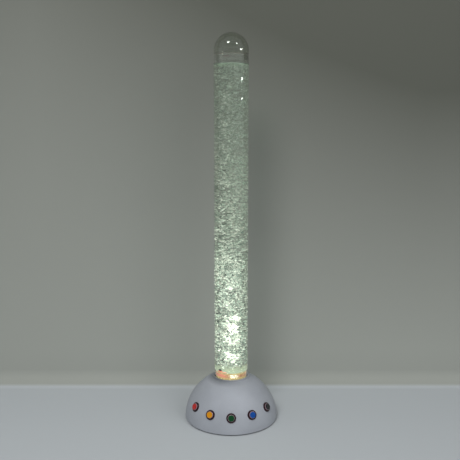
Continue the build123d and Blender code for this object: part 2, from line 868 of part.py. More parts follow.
# Push buttons: one body, plunger, cap and spring each
def button_body(plane):
    """Threaded barrel with its bezel, open through the middle."""
    with BuildPart() as body:
        with BuildSketch(plane.offset(button_seat)):
            Circle(bezel_radius)
        extrude(amount=bezel_height)
        fillet(end_edge(body, plane), radius=bezel_round)
        with BuildSketch(plane.offset(button_seat)):
            Circle(barrel_radius)
        extrude(amount=-barrel_length)
        with BuildSketch(plane.offset(button_seat + bezel_floor)):
            Circle(head_radius + head_gap)
        extrude(amount=bezel_height, mode=Mode.SUBTRACT)
        with BuildSketch(plane.offset(contact_face)):
            Circle(barrel_bore)
        extrude(amount=barrel_length + bezel_height, mode=Mode.SUBTRACT)
    return body.part


def button_plunger(plane):
    """Pale plunger: a round head that shows as a ring, and a stem down the barrel."""
    head_foot = button_seat + head_lift
    stem_end = contact_face + button_travel + spring_gap
    with BuildPart() as plunger:
        with BuildSketch(plane.offset(head_foot)):
            Circle(head_radius)
        extrude(amount=head_height)
        fillet(end_edge(plunger, plane), radius=head_round)
        with BuildSketch(plane.offset(stem_end)):
            Circle(stem_radius)
        extrude(amount=head_foot - stem_end)
        with BuildSketch(plane.offset(head_foot + head_height)):
            Circle(peg_radius + seat_gap)
        extrude(amount=-peg_length, mode=Mode.SUBTRACT)
    return plunger.part


def button_cap(plane):
    """Coloured cap, pegged into the plunger's head."""
    cap_seat = button_seat + head_lift + head_height
    with BuildPart() as coloured:
        with BuildSketch(plane.offset(cap_seat)):
            Circle(button_cap_radius)
        extrude(amount=button_cap_height)
        fillet(end_edge(coloured, plane), radius=button_cap_round)
        with BuildSketch(plane.offset(cap_seat)):
            Circle(peg_radius)
        extrude(amount=-peg_length)
    return coloured.part


def button_spring(plane):
    """Return spring round the stem, between the contact block and the plunger's head."""
    start = contact_face + spring_wire / 2
    height = button_seat + head_lift - spring_gap - spring_wire / 2 - start
    with BuildPart() as spring:
        with BuildLine() as coil:
            Helix(
                pitch=height / spring_turns,
                height=height,
                radius=spring_radius,
                center=plane.offset(start).origin,
                direction=plane.z_dir,
            )
        with BuildSketch(Plane(origin=coil.line @ 0, z_dir=coil.line % 0)) as wire:
            Circle(spring_wire / 2)
        sweep(sections=wire.sketch, path=coil.line, is_frenet=True)
    return spring.part


for colour, plane in zip(button_names, button_planes):
    makers = {"body": button_body, "plunger": button_plunger, "cap": button_cap, "spring": button_spring}
    for piece, maker in makers.items():
        made = maker(plane)
        made.label = f"button_{piece}_{colour}"
        export_step(made, f"parts/button_{piece}_{colour}.step")

# Nuts that clamp the buttons to the housing's pads
with BuildPart() as nuts:
    for plane in button_planes:
        with BuildSketch(plane.offset(button_pad)):
            RegularPolygon(nut_size / 2, 6, major_radius=False)
            Circle(barrel_radius + seat_gap, mode=Mode.SUBTRACT)
        extrude(amount=-nut_thickness)
nuts.part.label = "button_nuts"
export_step(nuts.part, "parts/button_nuts.step")

# Contact blocks that close the barrels, and their brass terminals
with BuildPart() as contacts:
    for plane in button_planes:
        with BuildSketch(plane.offset(contact_face)):
            Circle(contact_radius)
        extrude(amount=-contact_height)
contacts.part.label = "button_contact_blocks"
export_step(contacts.part, "parts/button_contact_blocks.step")

with BuildPart() as terminals:
    for plane in button_planes:
        with BuildSketch(plane.offset(contact_back)):
            with GridLocations(terminal_spacing, 0, 2, 1):
                Rectangle(terminal_thickness, terminal_width)
        extrude(amount=-terminal_length)
terminals.part.label = "button_terminals"
export_step(terminals.part, "parts/button_terminals.step")

# Power inlet: a flanged barrel with a centre pin, and its nut
with BuildPart() as jack:
    with BuildSketch(jack_plane.offset(jack_seat)):
        Circle(jack_flange_radius)
    extrude(amount=jack_flange_height)
    fillet(end_edge(jack, jack_plane), radius=jack_flange_round)
    with BuildSketch(jack_plane.offset(jack_seat)):
        Circle(jack_radius)
    extrude(amount=-jack_length)
    jack_face = jack_seat + jack_flange_height
    with BuildSketch(jack_plane.offset(jack_face)):
        Circle(jack_bore)
    extrude(amount=-jack_bore_depth, mode=Mode.SUBTRACT)
    with BuildSketch(jack_plane.offset(jack_face - jack_bore_depth)):
        Circle(jack_pin_radius)
    extrude(amount=jack_pin_length)
jack.part.label = "power_jack"
export_step(jack.part, "parts/power_jack.step")

with BuildPart() as jack_nut:
    with BuildSketch(jack_plane.offset(jack_pad)):
        RegularPolygon(jack_nut_size / 2, 6, major_radius=False)
        Circle(jack_radius + seat_gap, mode=Mode.SUBTRACT)
    extrude(amount=-jack_nut_thickness)
jack_nut.part.label = "jack_nut"
export_step(jack_nut.part, "parts/jack_nut.step")

# Control board on the plate's standoffs
with BuildPart() as control_board:
    with BuildSketch(Plane.XY.offset(board_foot)):
        with Locations((board_x, board_y)):
            Rectangle(board_width, board_length)
        with Locations(*board_corners):
            Circle(screw_radius, mode=Mode.SUBTRACT)
    extrude(amount=board_thickness)
control_board.part.label = "control_board"
export_step(control_board.part, "parts/control_board.step")

# Connectors, controller chip, capacitors and light drivers on the board
with BuildPart() as components:
    with BuildSketch(Plane.XY.offset(board_top)):
        for side_y in (led_connector_y, pump_connector_y):
            with Locations((board_near + connector_depth / 2, side_y)):
                Rectangle(connector_depth, connector_width)
        with Locations((jack_connector_x, board_rear - connector_depth / 2)):
            Rectangle(connector_width, connector_depth)
        with Locations((board_x, board_front + connector_depth / 2)):
            Rectangle(button_connector_width, connector_depth)
    extrude(amount=connector_height)
    with BuildSketch(Plane.XY.offset(board_top)):
        with Locations((board_x + chip_shares[0] * board_width, board_y + chip_shares[1] * board_length)):
            Rectangle(chip_size, chip_size)
    extrude(amount=chip_height)
    with BuildSketch(Plane.XY.offset(board_top)):
        for across, along in capacitor_shares:
            with Locations((board_x + across * board_width, board_y + along * board_length)):
                Circle(capacitor_radius)
    extrude(amount=capacitor_height)
    with BuildSketch(Plane.XY.offset(board_top)):
        driver_place = (board_x + driver_shift_share * board_width, board_y - driver_row_share * board_length)
        with Locations(driver_place):
            with GridLocations((board_width - driver_pitch) / driver_count, 0, driver_count, 1):
                Rectangle(driver_width, driver_length)
    extrude(amount=driver_height)
components.part.label = "board_components"
export_step(components.part, "parts/board_components.step")

# Pump case: an open box with rounded corners, a cradle, and holes for its pin and cable
pump_cable_points = [
    (board_near, pump_connector_y, cable_height),
    (board_near - cable_lead, pump_connector_y, cable_height),
]
for inset, side, height in zip(pump_cable_insets, pump_cable_sides, pump_cable_heights):
    pump_cable_points.append((socket_bore - inset, side, height))
pump_cable_points += [
    (pump_length / 2 + pump_cable_run, pump_cable_y, pump_cable_z),
    (coil_end, pump_cable_y, pump_cable_z),
]
with BuildPart() as pump_case:
    with BuildSketch(Plane.XY.offset(pump_foot)):
        RectangleRounded(pump_length, pump_width, pump_round)
    extrude(amount=pump_height)
    with BuildSketch(Plane.XY.offset(pump_floor)):
        RectangleRounded(pump_length - 2 * pump_wall, pump_width - 2 * pump_wall, pump_round - pump_wall)
    extrude(amount=pump_height, mode=Mode.SUBTRACT)
    with BuildSketch(Plane.XY.offset(pump_floor)):
        with Locations((core_far - core_back / 2, 0)):
            Rectangle(core_back, 2 * core_half_width)
    extrude(amount=core_floor)
    with BuildSketch(Plane.XY.offset(pump_floor)):
        with Locations((pivot_x, pivot_y)):
            Circle(pivot_radius + seat_gap)
    extrude(amount=-pivot_sink, mode=Mode.SUBTRACT)
    with BuildSketch(Plane.YZ.offset(pump_length / 2 - pump_wall)):
        with Locations((pump_cable_y, pump_cable_z)):
            Circle(pump_cable_radius + cable_hole_gap)
    extrude(amount=pump_wall, mode=Mode.SUBTRACT)
pump_case.part.label = "pump_case"
export_step(pump_case.part, "parts/pump_case.step")

# Pump cover with a lip inside the case and a hole for the outlet
with BuildPart() as pump_cover:
    with BuildSketch(Plane.XY.offset(pump_top)):
        RectangleRounded(pump_length, pump_width, pump_round)
    extrude(amount=cover_thickness)
    lip_length = pump_length - 2 * (pump_wall + cover_gap)
    lip_width = pump_width - 2 * (pump_wall + cover_gap)
    with BuildSketch(Plane.XY.offset(pump_top)):
        RectangleRounded(lip_length, lip_width, pump_round - pump_wall)
        RectangleRounded(
            lip_length - 2 * pump_wall, lip_width - 2 * pump_wall, pump_round - pump_wall, mode=Mode.SUBTRACT
        )
    extrude(amount=-cover_lip)
    with BuildSketch(Plane.XY.offset(pump_top - overrun)):
        with Locations((outlet_x, bellows_y)):
            Circle(outlet_radius + outlet_hole_gap)
    extrude(amount=cover_thickness + 2 * overrun, mode=Mode.SUBTRACT)
pump_cover.part.label = "pump_cover"
export_step(pump_cover.part, "parts/pump_cover.step")

# Rubber mounts under the pump
with BuildPart() as mounts:
    with BuildSketch(Plane.XY.offset(plate_top)):
        with GridLocations(pump_length - 2 * mount_inset, pump_width - 2 * mount_inset, 2, 2):
            Circle(mount_radius)
    extrude(amount=mount_height)
mounts.part.label = "pump_mounts"
export_step(mounts.part, "parts/pump_mounts.step")

# E-shaped laminated core, and the coil round its middle limb
with BuildPart() as core:
    with BuildSketch(Plane.XY.offset(core_foot)):
        with Locations((core_far - core_back / 2, 0)):
            Rectangle(core_back, 2 * core_half_width)
        with Locations((core_far - core_back - core_limb / 2, 0)):
            Rectangle(core_limb, core_middle_limb)
            with GridLocations(0, 2 * core_half_width - core_side_limb, 1, 2):
                Rectangle(core_limb, core_side_limb)
    extrude(amount=core_height)
core.part.label = "pump_core"
export_step(core.part, "parts/pump_core.step")

with BuildPart() as coil_winding:
    coil_length = core_limb - 2 * coil_inset
    with BuildSketch(Plane.YZ.offset(core_far - core_back - coil_inset)):
        with Locations((0, core_foot + core_height / 2)):
            opening_width = core_middle_limb + 2 * coil_gap
            opening_height = core_height + 2 * coil_gap
            RectangleRounded(opening_width + 2 * coil_wall, opening_height + 2 * coil_wall, coil_wall)
            Rectangle(opening_width, opening_height, mode=Mode.SUBTRACT)
    extrude(amount=-coil_length)
coil_winding.part.label = "pump_coil"
export_step(coil_winding.part, "parts/pump_coil.step")

# Rocking arm on its pivot pin, with the magnet that faces the core's poles
with BuildPart() as pin:
    with BuildSketch(Plane.XY.offset(pump_floor - pivot_sink)):
        with Locations((pivot_x, pivot_y)):
            Circle(pivot_radius)
    extrude(amount=pump_top - pump_floor + pivot_sink)
pin.part.label = "pump_pivot_pin"
export_step(pin.part, "parts/pump_pivot_pin.step")

with BuildPart() as arm:
    with BuildSketch(Plane.XY.offset(arm_foot)):
        with Locations((pivot_x, pivot_y - arm_reach / 2)):
            Rectangle(arm_thickness, arm_reach)
        with Locations((pivot_x, pivot_y)):
            Circle(hub_radius)
            Circle(pivot_radius + slip_gap, mode=Mode.SUBTRACT)
    extrude(amount=arm_height)
arm.part.label = "pump_arm"
export_step(arm.part, "parts/pump_arm.step")

with BuildPart() as magnet:
    with BuildSketch(Plane.XY.offset(arm_foot + (arm_height - magnet_height) / 2)):
        with Locations((pivot_x + (arm_thickness + magnet_thickness) / 2, 0)):
            Rectangle(magnet_thickness, magnet_width)
    extrude(amount=magnet_height)
magnet.part.label = "pump_magnet"
export_step(magnet.part, "parts/pump_magnet.step")

# Folded rubber bellows between the arm and the valve box
with BuildPart() as bellows:
    fold = bellows_length / bellows_folds
    ridge = [(bellows_far, bellows_root)]
    for index in range(bellows_folds):
        ridge.append((bellows_far + (index + 0.5) * fold, bellows_radius))
        ridge.append((bellows_far + (index + 1) * fold, bellows_root))
    valley = [(x, radius - bellows_wall) for x, radius in reversed(ridge)]
    with BuildSketch(Plane(origin=(0, bellows_y, bellows_z), x_dir=(1, 0, 0), z_dir=(0, -1, 0))):
        with BuildLine():
            Polyline(*ridge, *valley, close=True)
        make_face()
    revolve(axis=Axis((0, bellows_y, bellows_z), (1, 0, 0)))
bellows.part.label = "pump_bellows"
export_step(bellows.part, "parts/pump_bellows.step")

# Valve box with its outlet up through the cover
with BuildPart() as valve_box:
    with BuildSketch(Plane.XY.offset(pump_floor)):
        with Locations((outlet_x, bellows_y)):
            Rectangle(valve_box_length, valve_box_width)
    extrude(amount=valve_box_height)
    with BuildSketch(Plane.XY.offset(pump_floor + valve_box_height)):
        with Locations((outlet_x, bellows_y)):
            Circle(outlet_radius)
    extrude(amount=outlet_top - pump_floor - valve_box_height)
    with BuildSketch(Plane.XY.offset(outlet_top)):
        with Locations((outlet_x, bellows_y)):
            Circle(outlet_bore)
    extrude(amount=bellows_z - outlet_top, mode=Mode.SUBTRACT)
valve_box.part.label = "pump_valve_box"
export_step(valve_box.part, "parts/pump_valve_box.step")

# Air hose from the pump's outlet up through the light board to the plug's fitting
hose_points = [
    (outlet_x, bellows_y, cover_top + hose_gap),
    (outlet_x, bellows_y, cover_top + hose_gap + hose_lead),
    (0, 0, plug_foot - fitting_flange_height - hose_gap - hose_lead),
    (0, 0, plug_foot - fitting_flange_height - hose_gap),
]
hose = tube_along(hose_points, hose_radius, hose_bore, "air_hose")
hose.label = "air_hose"
export_step(hose, "parts/air_hose.step")

# Cables from the control board to the power inlet, the lights and the pump
jack_exit = jack_plane.offset(jack_back).origin
jack_lead = jack_plane.offset(jack_back - jack_cable_lead).origin
jack_cable_points = [(jack_exit.X, jack_exit.Y, jack_exit.Z), (jack_lead.X, jack_lead.Y, jack_lead.Z)]
for azimuth, inset, height in zip(jack_cable_azimuths, jack_cable_insets, jack_cable_heights):
    jack_cable_points.append((*polar(plate_radius - inset, azimuth), height))
jack_cable_points += [
    (jack_connector_x, board_rear + cable_lead, cable_height),
    (jack_connector_x, board_rear, cable_height),
]
led_cable_points = [
    (board_near, led_connector_y, cable_height),
    (board_near - cable_lead, led_connector_y, cable_height),
]
for inset, side, height in zip(led_cable_insets, led_cable_sides, led_cable_heights):
    led_cable_points.append((socket_bore - inset, side, height))
led_cable_points += [
    (led_cable_x, 0, shelf_top - led_cable_rise),
    (led_cable_x, 0, shelf_top),
]
cables = {
    "jack_cable": (jack_cable_points, jack_cable_radius),
    "led_cable": (led_cable_points, led_cable_radius),
    "pump_cable": (pump_cable_points, pump_cable_radius),
}
for name, (points, radius) in cables.items():
    cable = tube_along(points, radius, 0, name)
    cable.label = name
    export_step(cable, f"parts/{name}.step")

# One lead from each button's contact block, down to the plate and round to the board
leads = []
for index, plane in enumerate(button_planes):
    block_end = plane.offset(contact_back).origin
    run_end = plane.offset(contact_back - lead_run).origin
    lane = flange_radius + lead_gap + index * lead_pitch
    landing = button_azimuths[index] + lead_swing
    points = [(block_end.X, block_end.Y, block_end.Z), (run_end.X, run_end.Y, run_end.Z)]
    if landing < lead_bends[-1]:
        points.append((*polar(lane, landing), lead_height))
        points += [(*polar(lane, bend), lead_height) for bend in lead_bends if bend > landing]
    pin_x = board_x + (index - (len(button_names) - 1) / 2) * lead_pitch
    points.append((pin_x, board_front - lead_approach - index * lead_pitch, cable_height))
    points.append((pin_x, board_front, cable_height))
    leads.append(tube_along(points, lead_radius, 0, f"button_lead_{button_names[index]}"))
button_leads = Compound(children=leads)
button_leads.label = "button_leads"
export_step(button_leads, "parts/button_leads.step")
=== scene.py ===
"""Looks of an LED bubble tube: a lit, water-filled acrylic tube in a silver domed housing."""

import json
import math
from functools import partial

import bmesh
import bpy
from mathutils import Matrix, Vector


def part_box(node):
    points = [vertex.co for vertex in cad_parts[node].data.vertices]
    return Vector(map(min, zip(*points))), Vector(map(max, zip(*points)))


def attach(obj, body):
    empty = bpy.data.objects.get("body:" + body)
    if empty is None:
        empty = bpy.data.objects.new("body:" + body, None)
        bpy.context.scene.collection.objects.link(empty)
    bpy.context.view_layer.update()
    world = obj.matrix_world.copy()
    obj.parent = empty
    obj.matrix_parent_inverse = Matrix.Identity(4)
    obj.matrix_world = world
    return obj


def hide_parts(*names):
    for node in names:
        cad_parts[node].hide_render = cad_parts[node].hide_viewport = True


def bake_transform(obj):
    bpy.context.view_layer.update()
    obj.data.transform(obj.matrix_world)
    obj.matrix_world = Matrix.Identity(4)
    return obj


bl_info = {
    "name": "Bubble tube looks",
    "version": (1, 0, 0),
    "blender": (4, 5, 0),
    "location": "View3D > Sidebar > Bubble tube",
    "description": "Dresses the packed bubble tube: housing, tube, water, bubbles, buttons and studio",
    "category": "Object",
}

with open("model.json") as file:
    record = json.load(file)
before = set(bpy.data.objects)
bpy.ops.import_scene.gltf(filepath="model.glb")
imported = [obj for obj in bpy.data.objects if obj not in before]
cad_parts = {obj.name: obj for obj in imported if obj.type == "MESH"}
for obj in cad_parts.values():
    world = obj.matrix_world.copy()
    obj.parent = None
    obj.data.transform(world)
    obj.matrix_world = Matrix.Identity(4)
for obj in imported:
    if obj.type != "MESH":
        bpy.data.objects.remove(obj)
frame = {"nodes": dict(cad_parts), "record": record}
nodes = frame["nodes"]
joints = {joint["name"]: joint for joint in frame["record"]["behaviour"]["joints"]}
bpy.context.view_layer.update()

MM = 0.001

# The photograph's frame and the camera that was fitted to it
FRAME_PIXELS = 460
FOCAL_PIXELS = 635
SENSOR_MM = 36.0
CAMERA_PLACE = (-0.0027, -1.468, 0.680)
CAMERA_TILT = 8.6  # degrees below level

# The larger bubbles stand where the construction has them: on a spiral, one golden angle after the other
RISING_COUNT = 360
RISING_RADII = (4.4 * MM, 2.6 * MM, 3.4 * MM)
RISING_FLATNESS = 0.6
RISING_END_GAP = 6 * MM
RISING_WALL_GAP = 1.5 * MM
GOLDEN_ANGLE = 137.508  # degrees
STREAM_SCALE = 0.9  # the stream's coarsest bubbles beside the largest that the settings allow

# The lamps point at the middle of the tube, and glossy surfaces mirror a dimmer room than the real one
LAMPS_AIM = (0, 0, 0.5)
MIRRORED_SHARE = 0.3

# How finely the turned pieces and the bends are divided
TUBE_STEPS = 160
CAP_STEPS = 128
DOME_STEPS = 24
VALVE_STEPS = 32
BEND_STEPS = 6
CORNER_STEPS = 4
SMOOTH_ANGLE = 30.0  # degrees; sharper edges stay sharp
ON_AXIS = 1e-7  # a point nearer to the axis than this is a pole

# Nearly all of a noise's values lie between these
SPAN = (0.3, 0.7)

# The buttons' caps, from the left
CAP_CODES = {"red": "#9C1717", "yellow": "#B87A08", "green": "#033A1B", "blue": "#043F86", "black": "#141619"}
CABLES = tuple(name for name in nodes if name.endswith(("_cable", "_leads")))


def linear(code):
    """An sRGB hex colour as linear red, green and blue."""
    values = [int(code[place : place + 2], 16) / 255 for place in (1, 3, 5)]
    return tuple(v / 12.92 if v <= 0.04045 else ((v + 0.055) / 1.055) ** 2.4 for v in values)


def shaded(colour, amount):
    """A hex code or linear colour, made lighter or darker by a factor."""
    values = linear(colour) if isinstance(colour, str) else colour
    return tuple(min(1.0, value * amount) for value in values)


def level(node, side):
    """Height of a CAD node's foot (side 0) or top (side 1)."""
    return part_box(node)[side].z


# Sizes that the frame gives
TUBE_FOOT, TUBE_TOP = level("clear_tube", 0), level("clear_tube", 1)
TUBE_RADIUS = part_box("clear_tube")[1].x
BORE_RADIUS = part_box("water_column")[1].x
WATER_FOOT, WATER_TOP = level("water_column", 0), level("water_column", 1)
CAP_TOP = level("top_cap", 1)
CAP_SEAL_FOOT, CAP_SEAL_TOP = level("cap_seal", 0), level("cap_seal", 1)
SEAL_FOOT = level("plug_seal", 0)


# Nodes and materials

# Nodes that come again and again: the type, the inputs that are given in a row, the output, the settings
READY = {
    "range": ("ShaderNodeMapRange", range(5), 0, {}),
    "blend": ("ShaderNodeMix", (0, 6, 7), 2, {"data_type": "RGBA"}),
    "bump": ("ShaderNodeBump", ("Height", "Distance", "Strength"), 0, {}),
    "surface": ("ShaderNodeBsdfPrincipled", (), 0, {}),
}
SUMS = "ADD SUBTRACT MULTIPLY DIVIDE POWER SQRT EXPONENT MINIMUM MAXIMUM FRACT MODULO SINE COSINE"
READY |= {one.lower(): ("ShaderNodeMath", range(2), 0, {"operation": one}) for one in SUMS.split()}


def add_node(tree, kind, inputs=(), out=0, **settings):
    """Adds a node, links or sets its inputs, in a row or by name, and gives one output, or all for None."""
    kind, row, out, settings = READY.get(kind, (kind, range(len(inputs)), out, settings))
    made = tree.nodes.new(kind)
    for name, value in settings.items():
        setattr(made, name, value)
    for name, value in inputs.items() if isinstance(inputs, dict) else zip(row, inputs):
        socket = made.inputs[name]
        if isinstance(value, bpy.types.NodeSocket):
            tree.links.new(value, socket)
        elif socket.type == "RGBA":
            socket.default_value = (*(linear(value) if isinstance(value, str) else value[:3]), 1)
        else:
            socket.default_value = value
    return made.outputs if out is None else made.outputs[out]


def material(name, recipe, *settings, **more):
    """A material whose surface is the shader that the recipe makes, given add_node on its tree as add."""
    made = bpy.data.materials.new(name)
    made.use_nodes = True
    made.node_tree.nodes.clear()
    add = partial(add_node, made.node_tree)
    add("ShaderNodeOutputMaterial", {"Surface": recipe(add, *settings, **more)}, None)
    return made


def product(add, first, *others):
    """Three or more values multiplied together."""
    for other in others:
        first = add("multiply", (first, other))
    return first


def noise(add, size_mm, detail=2.0, stretch=(1, 1, 1)):
    """Noise whose blotches are about that size, on Object coordinates."""
    place = add("ShaderNodeTexCoord", out="Object")
    turned = add("ShaderNodeMapping", {"Vector": place, "Scale": stretch})
    inputs = {"Vector": turned, "Scale": 1 / (size_mm * MM), "Detail": detail, "Roughness": 0.5}
    return add("ShaderNodeTexNoise", inputs)


def place_of(add):
    """The X, Y and Z of the shaded point, in metres, in the part's own frame."""
    place = add("ShaderNodeTexCoord", out="Object")
    return add("ShaderNodeSeparateXYZ", (place,), None)


def from_axis(add):
    """Distance of the shaded point from the tube's axis."""
    place = place_of(add)
    squares = [add("power", (place[way], 2.0)) for way in "XY"]
    return add("sqrt", (add("add", squares),))


def in_front(add, left, right, blur):
    """1 on the front between two places left and right of the axis, 0 elsewhere, with blurred ends."""
    place = place_of(add)
    after = add("range", (place["X"], left - blur, left + blur, 0, 1))
    before = add("range", (place["X"], right - blur, right + blur, 1, 0))
    front = add("range", (place["Y"], -blur, blur, 1, 0))
    return product(add, after, before, front)


def lets_lamps_through(add, shader, tint):
    """Clear pieces hide nothing from the lamps: rays to a lamp pass straight through, tinted."""
    clear = add("ShaderNodeBsdfTransparent", {"Color": tint})
    to_lamp = add("ShaderNodeLightPath", out="Is Shadow Ray")
    return add("ShaderNodeMixShader", (to_lamp, shader, clear))


def moulded(add, code, roughness, grain_mm, depth_mm=0.05, spread=0.12, coat=0.0, ior=1.5):
    """A moulded surface: even colour, fine grain and slight wear in its gloss."""
    ends = (shaded(code, 1 - spread / 2), shaded(code, 1 + spread / 2))
    wear = noise(add, 8 * grain_mm, 4)
    inputs = {
        "Base Color": add("blend", (noise(add, 30 * grain_mm, 3), *ends)),
        "Roughness": add("range", (wear, *SPAN, roughness * 0.88, roughness * 1.12)),
        "IOR": ior,
        "Coat Weight": coat,
        "Coat Roughness": 0.12,
        "Normal": add("bump", (noise(add, grain_mm), depth_mm * MM, 0.35)),
    }
    return add("surface", inputs)


def cast_acrylic(add, colour="#FAFCFA"):
    """Cast acrylic, polished: clear, with hair-fine handling marks."""
    marks = noise(add, 2.5, 3, stretch=(1, 1, 0.06))
    inputs = {
        "Base Color": colour,
        "Roughness": add("range", (marks, 0.5, 0.85, 0, 0.04)),
        "IOR": 1.49,
        "Transmission Weight": 1.0,
        "Coat Weight": 0.6,
        "Coat Roughness": 0.05,
    }
    return lets_lamps_through(add, add("surface", inputs), (0.97, 0.99, 0.98))


def acrylic_with_trace(add):
    """Blow-formed acrylic, a little grey, with a thin trace of orange adhesive on the front of the spigot."""
    height = place_of(add)["Z"]
    middle, thickness = CAP_SEAL_FOOT - 5 * MM, 0.8 * MM
    above = add("range", (height, middle - thickness, middle - 0.6 * thickness, 0, 1))
    below = add("range", (height, middle + 0.6 * thickness, middle + thickness, 1, 0))
    smear = add("range", (noise(add, 3), 0.35, 0.6, 0.3, 1))
    trace = product(add, above, below, smear, in_front(add, -0.017, -0.002, 0.002))
    return cast_acrylic(add, add("blend", (trace, "#E7EAE4", "#A8341F")))


def still_water(add):
    """Water: clear and a little green, greenest at its surface, where the lamp's light comes back down."""
    look = bpy.context.scene.bubble_looks
    depth = add("subtract", (WATER_TOP, place_of(add)["Z"]))
    inputs = {
        "Base Color": "#F2F7EF",
        "Roughness": 0.0,
        "IOR": 1.33,
        "Transmission Weight": 1.0,
        "Emission Color": "#8CCB9C",
        "Emission Strength": add("range", (depth, 0, 2 * MM, look.surface_glow, 0)),
        "Normal": add("bump", (noise(add, 14), 0.6 * MM, 0.25)),
    }
    return lets_lamps_through(add, add("surface", inputs), (0.93, 0.98, 0.95))


def glow_by_height(add, look):
    """How brightly the lamp below lights a point: less the higher above the plug, and even near it."""
    rise = add("subtract", (place_of(add)["Z"], WATER_FOOT))
    fading = add("exponent", (add("divide", (rise, -look.glow_reach)),))
    return add("minimum", (add("multiply", (fading, look.glow_strength)), look.glow_most))


def air_bubbles(add, alpha, dark, pale, sharpness=0.7, evenness=0.3):
    """Air bubbles in lit water: grey-green, each with a crescent of the lamp's light on its lower side."""
    look = bpy.context.scene.bubble_looks
    own = add("ShaderNodeAttribute", out="Fac", attribute_name="glint")
    low_side = add("ShaderNodeAttribute", out="Fac", attribute_name="low_side")
    crescent = add("range", (low_side, 0, 1, evenness, 1))
    drift = add("range", (noise(add, 18), 0.36, 0.64, 0.6, 1.35))
    place = place_of(add)
    # The lamp's painted glow on the bubbles is weaker towards the right of the tube
    stream = add("range", (place["X"], 0.008, 0.03, 1.05, 0.62))
    around = add("multiply", (drift, stream))
    share = product(add, add("power", (own, sharpness)), crescent, around)
    hue = add("range", (noise(add, 5, 1), 0.42, 0.6, 0, 1))
    tint = add("blend", (hue, "#BDE2CE", "#F0E8DA"))
    # High up on the left the bubbles are painted darker and more olive, in blotches
    shade = add("range", (place["X"], -0.034, -0.014, 0.75, 0))
    high = add("range", (place["Z"], 0.4, 0.6, 0, 1))
    olive = product(add, shade, high, drift)
    # and on the right they are painted alike, in colour and in their painted glow
    right = add("range", (place["X"], -0.012, 0.012, 0, 0.85))
    calm = add("multiply", (right, high))
    evening = product(add, calm, add("subtract", (0.3, share)), 0.8)
    share = add("add", (share, evening))
    own_colour = add("blend", (own, dark, pale))
    alike = add("blend", (calm, own_colour, "#929D92"))
    white = add("range", (share, 0.15, 0.9, 0, 1))
    inputs = {
        "Base Color": add("blend", (olive, alike, "#3F4839")),
        "Roughness": 0.2,
        "IOR": 1.33,
        "Alpha": alpha,
        "Emission Color": add("blend", (white, tint, look.glow_colour)),
        "Emission Strength": add("multiply", (glow_by_height(add, look), share)),
    }
    return add("surface", inputs)


def lit_acrylic(add):
    """The acrylic plug, sawn and lightly polished, full of the lamp's light: green above, cream beside."""
    haze = noise(add, 6, 3)
    skin = (WATER_FOOT - 0.5 * MM, WATER_FOOT - 0.1 * MM)
    above = add("range", (place_of(add)["Z"], *skin, 0, 1))
    colour = add("blend", (above, "#E2CF95", "#C9DCC9"))
    by_radius = add("range", (from_axis(add), 0.005, 0.036, 1.3, 0.95))
    by_side = add("range", (above, 0, 1, 0.25, 0.31))
    cloudy = add("range", (haze, *SPAN, 0.6, 1.1))
    inputs = {
        "Base Color": colour,
        "Roughness": add("range", (haze, *SPAN, 0.12, 0.3)),
        "IOR": 1.49,
        "Transmission Weight": 0.5,
        "Emission Color": colour,
        "Emission Strength": product(add, by_radius, by_side, cloudy),
    }
    return add("surface", inputs)


# Cast silicone is satin, and light gets a few millimetres into it
SILICONE = {
    "Roughness": 0.38,
    "IOR": 1.42,
    "Subsurface Radius": (4 * MM, 2 * MM, 1 * MM),
    "Subsurface Scale": 1.0,
}


def seal_with_leak(add):
    """Cast orange silicone seal: tan where it is thick, with light leaking through a thin place in front."""
    lumps = noise(add, 5, 3)
    thick = add("range", (lumps, 0.35, 0.65, 0, 1))
    tan = add("blend", (thick, "#B98455", "#E5B583"))
    holes = add("range", (noise(add, 2), 0.45, 0.55, 0.05, 1))
    leak = add("multiply", (in_front(add, -0.004, 0.016, 0.004), holes))
    # On the front left it is painted salmon, with a faint painted glow
    salmon_glow = in_front(add, -0.034, -0.012, 0.006)
    colour = add("blend", (salmon_glow, tan, "#EE9A7C"))
    bright = add("blend", (leak, colour, "#F1FAE2"))
    # Its lower edge is thin, and is painted pale amber for the lamp's light coming through
    span = (SEAL_FOOT + 1.2 * MM, SEAL_FOOT + 2.8 * MM)
    edge = add("range", (place_of(add)["Z"], *span, 0.75, 0))
    bright = add("blend", (edge, bright, "#D8C384"))
    # The whole seal has a faint painted glow, stronger at the leak and on the salmon patch
    lights = [add("multiply", pair) for pair in ((leak, 0.9), (salmon_glow, 0.15))]
    inputs = {
        **SILICONE,
        "Base Color": bright,
        "Subsurface Weight": 0.15,
        "Emission Color": bright,
        "Emission Strength": add("add", (add("add", lights), 0.1)),
        "Normal": add("bump", (lumps, 0.5 * MM, 0.4)),
    }
    return add("surface", inputs)


def clear_gasket(add):
    """Thin clear silicone gasket, faintly amber where it is thicker."""
    inputs = {
        "Base Color": add("blend", (noise(add, 6), "#F3F1EC", "#E6DFD2")),
        "Roughness": 0.03,
        "IOR": 1.46,
        "Transmission Weight": 0.96,
    }
    return lets_lamps_through(add, add("surface", inputs), (0.95, 0.94, 0.9))


def silicone(add, code, glow):
    """Silicone rubber, cast in place: satin, slightly lumpy, and warm where the lamp shines through it."""
    lumps = noise(add, 5)
    thick = add("range", (lumps, *SPAN, 0, 1))
    inputs = {
        **SILICONE,
        "Base Color": add("blend", (thick, shaded(code, 0.75), shaded(code, 1.2))),
        "Subsurface Weight": 0.2,
        "Emission Color": code,
        "Emission Strength": add("range", (lumps, *SPAN, 0.6 * glow, 1.4 * glow)),
        "Normal": add("bump", (lumps, 0.4 * MM, 0.4)),
    }
    return add("surface", inputs)


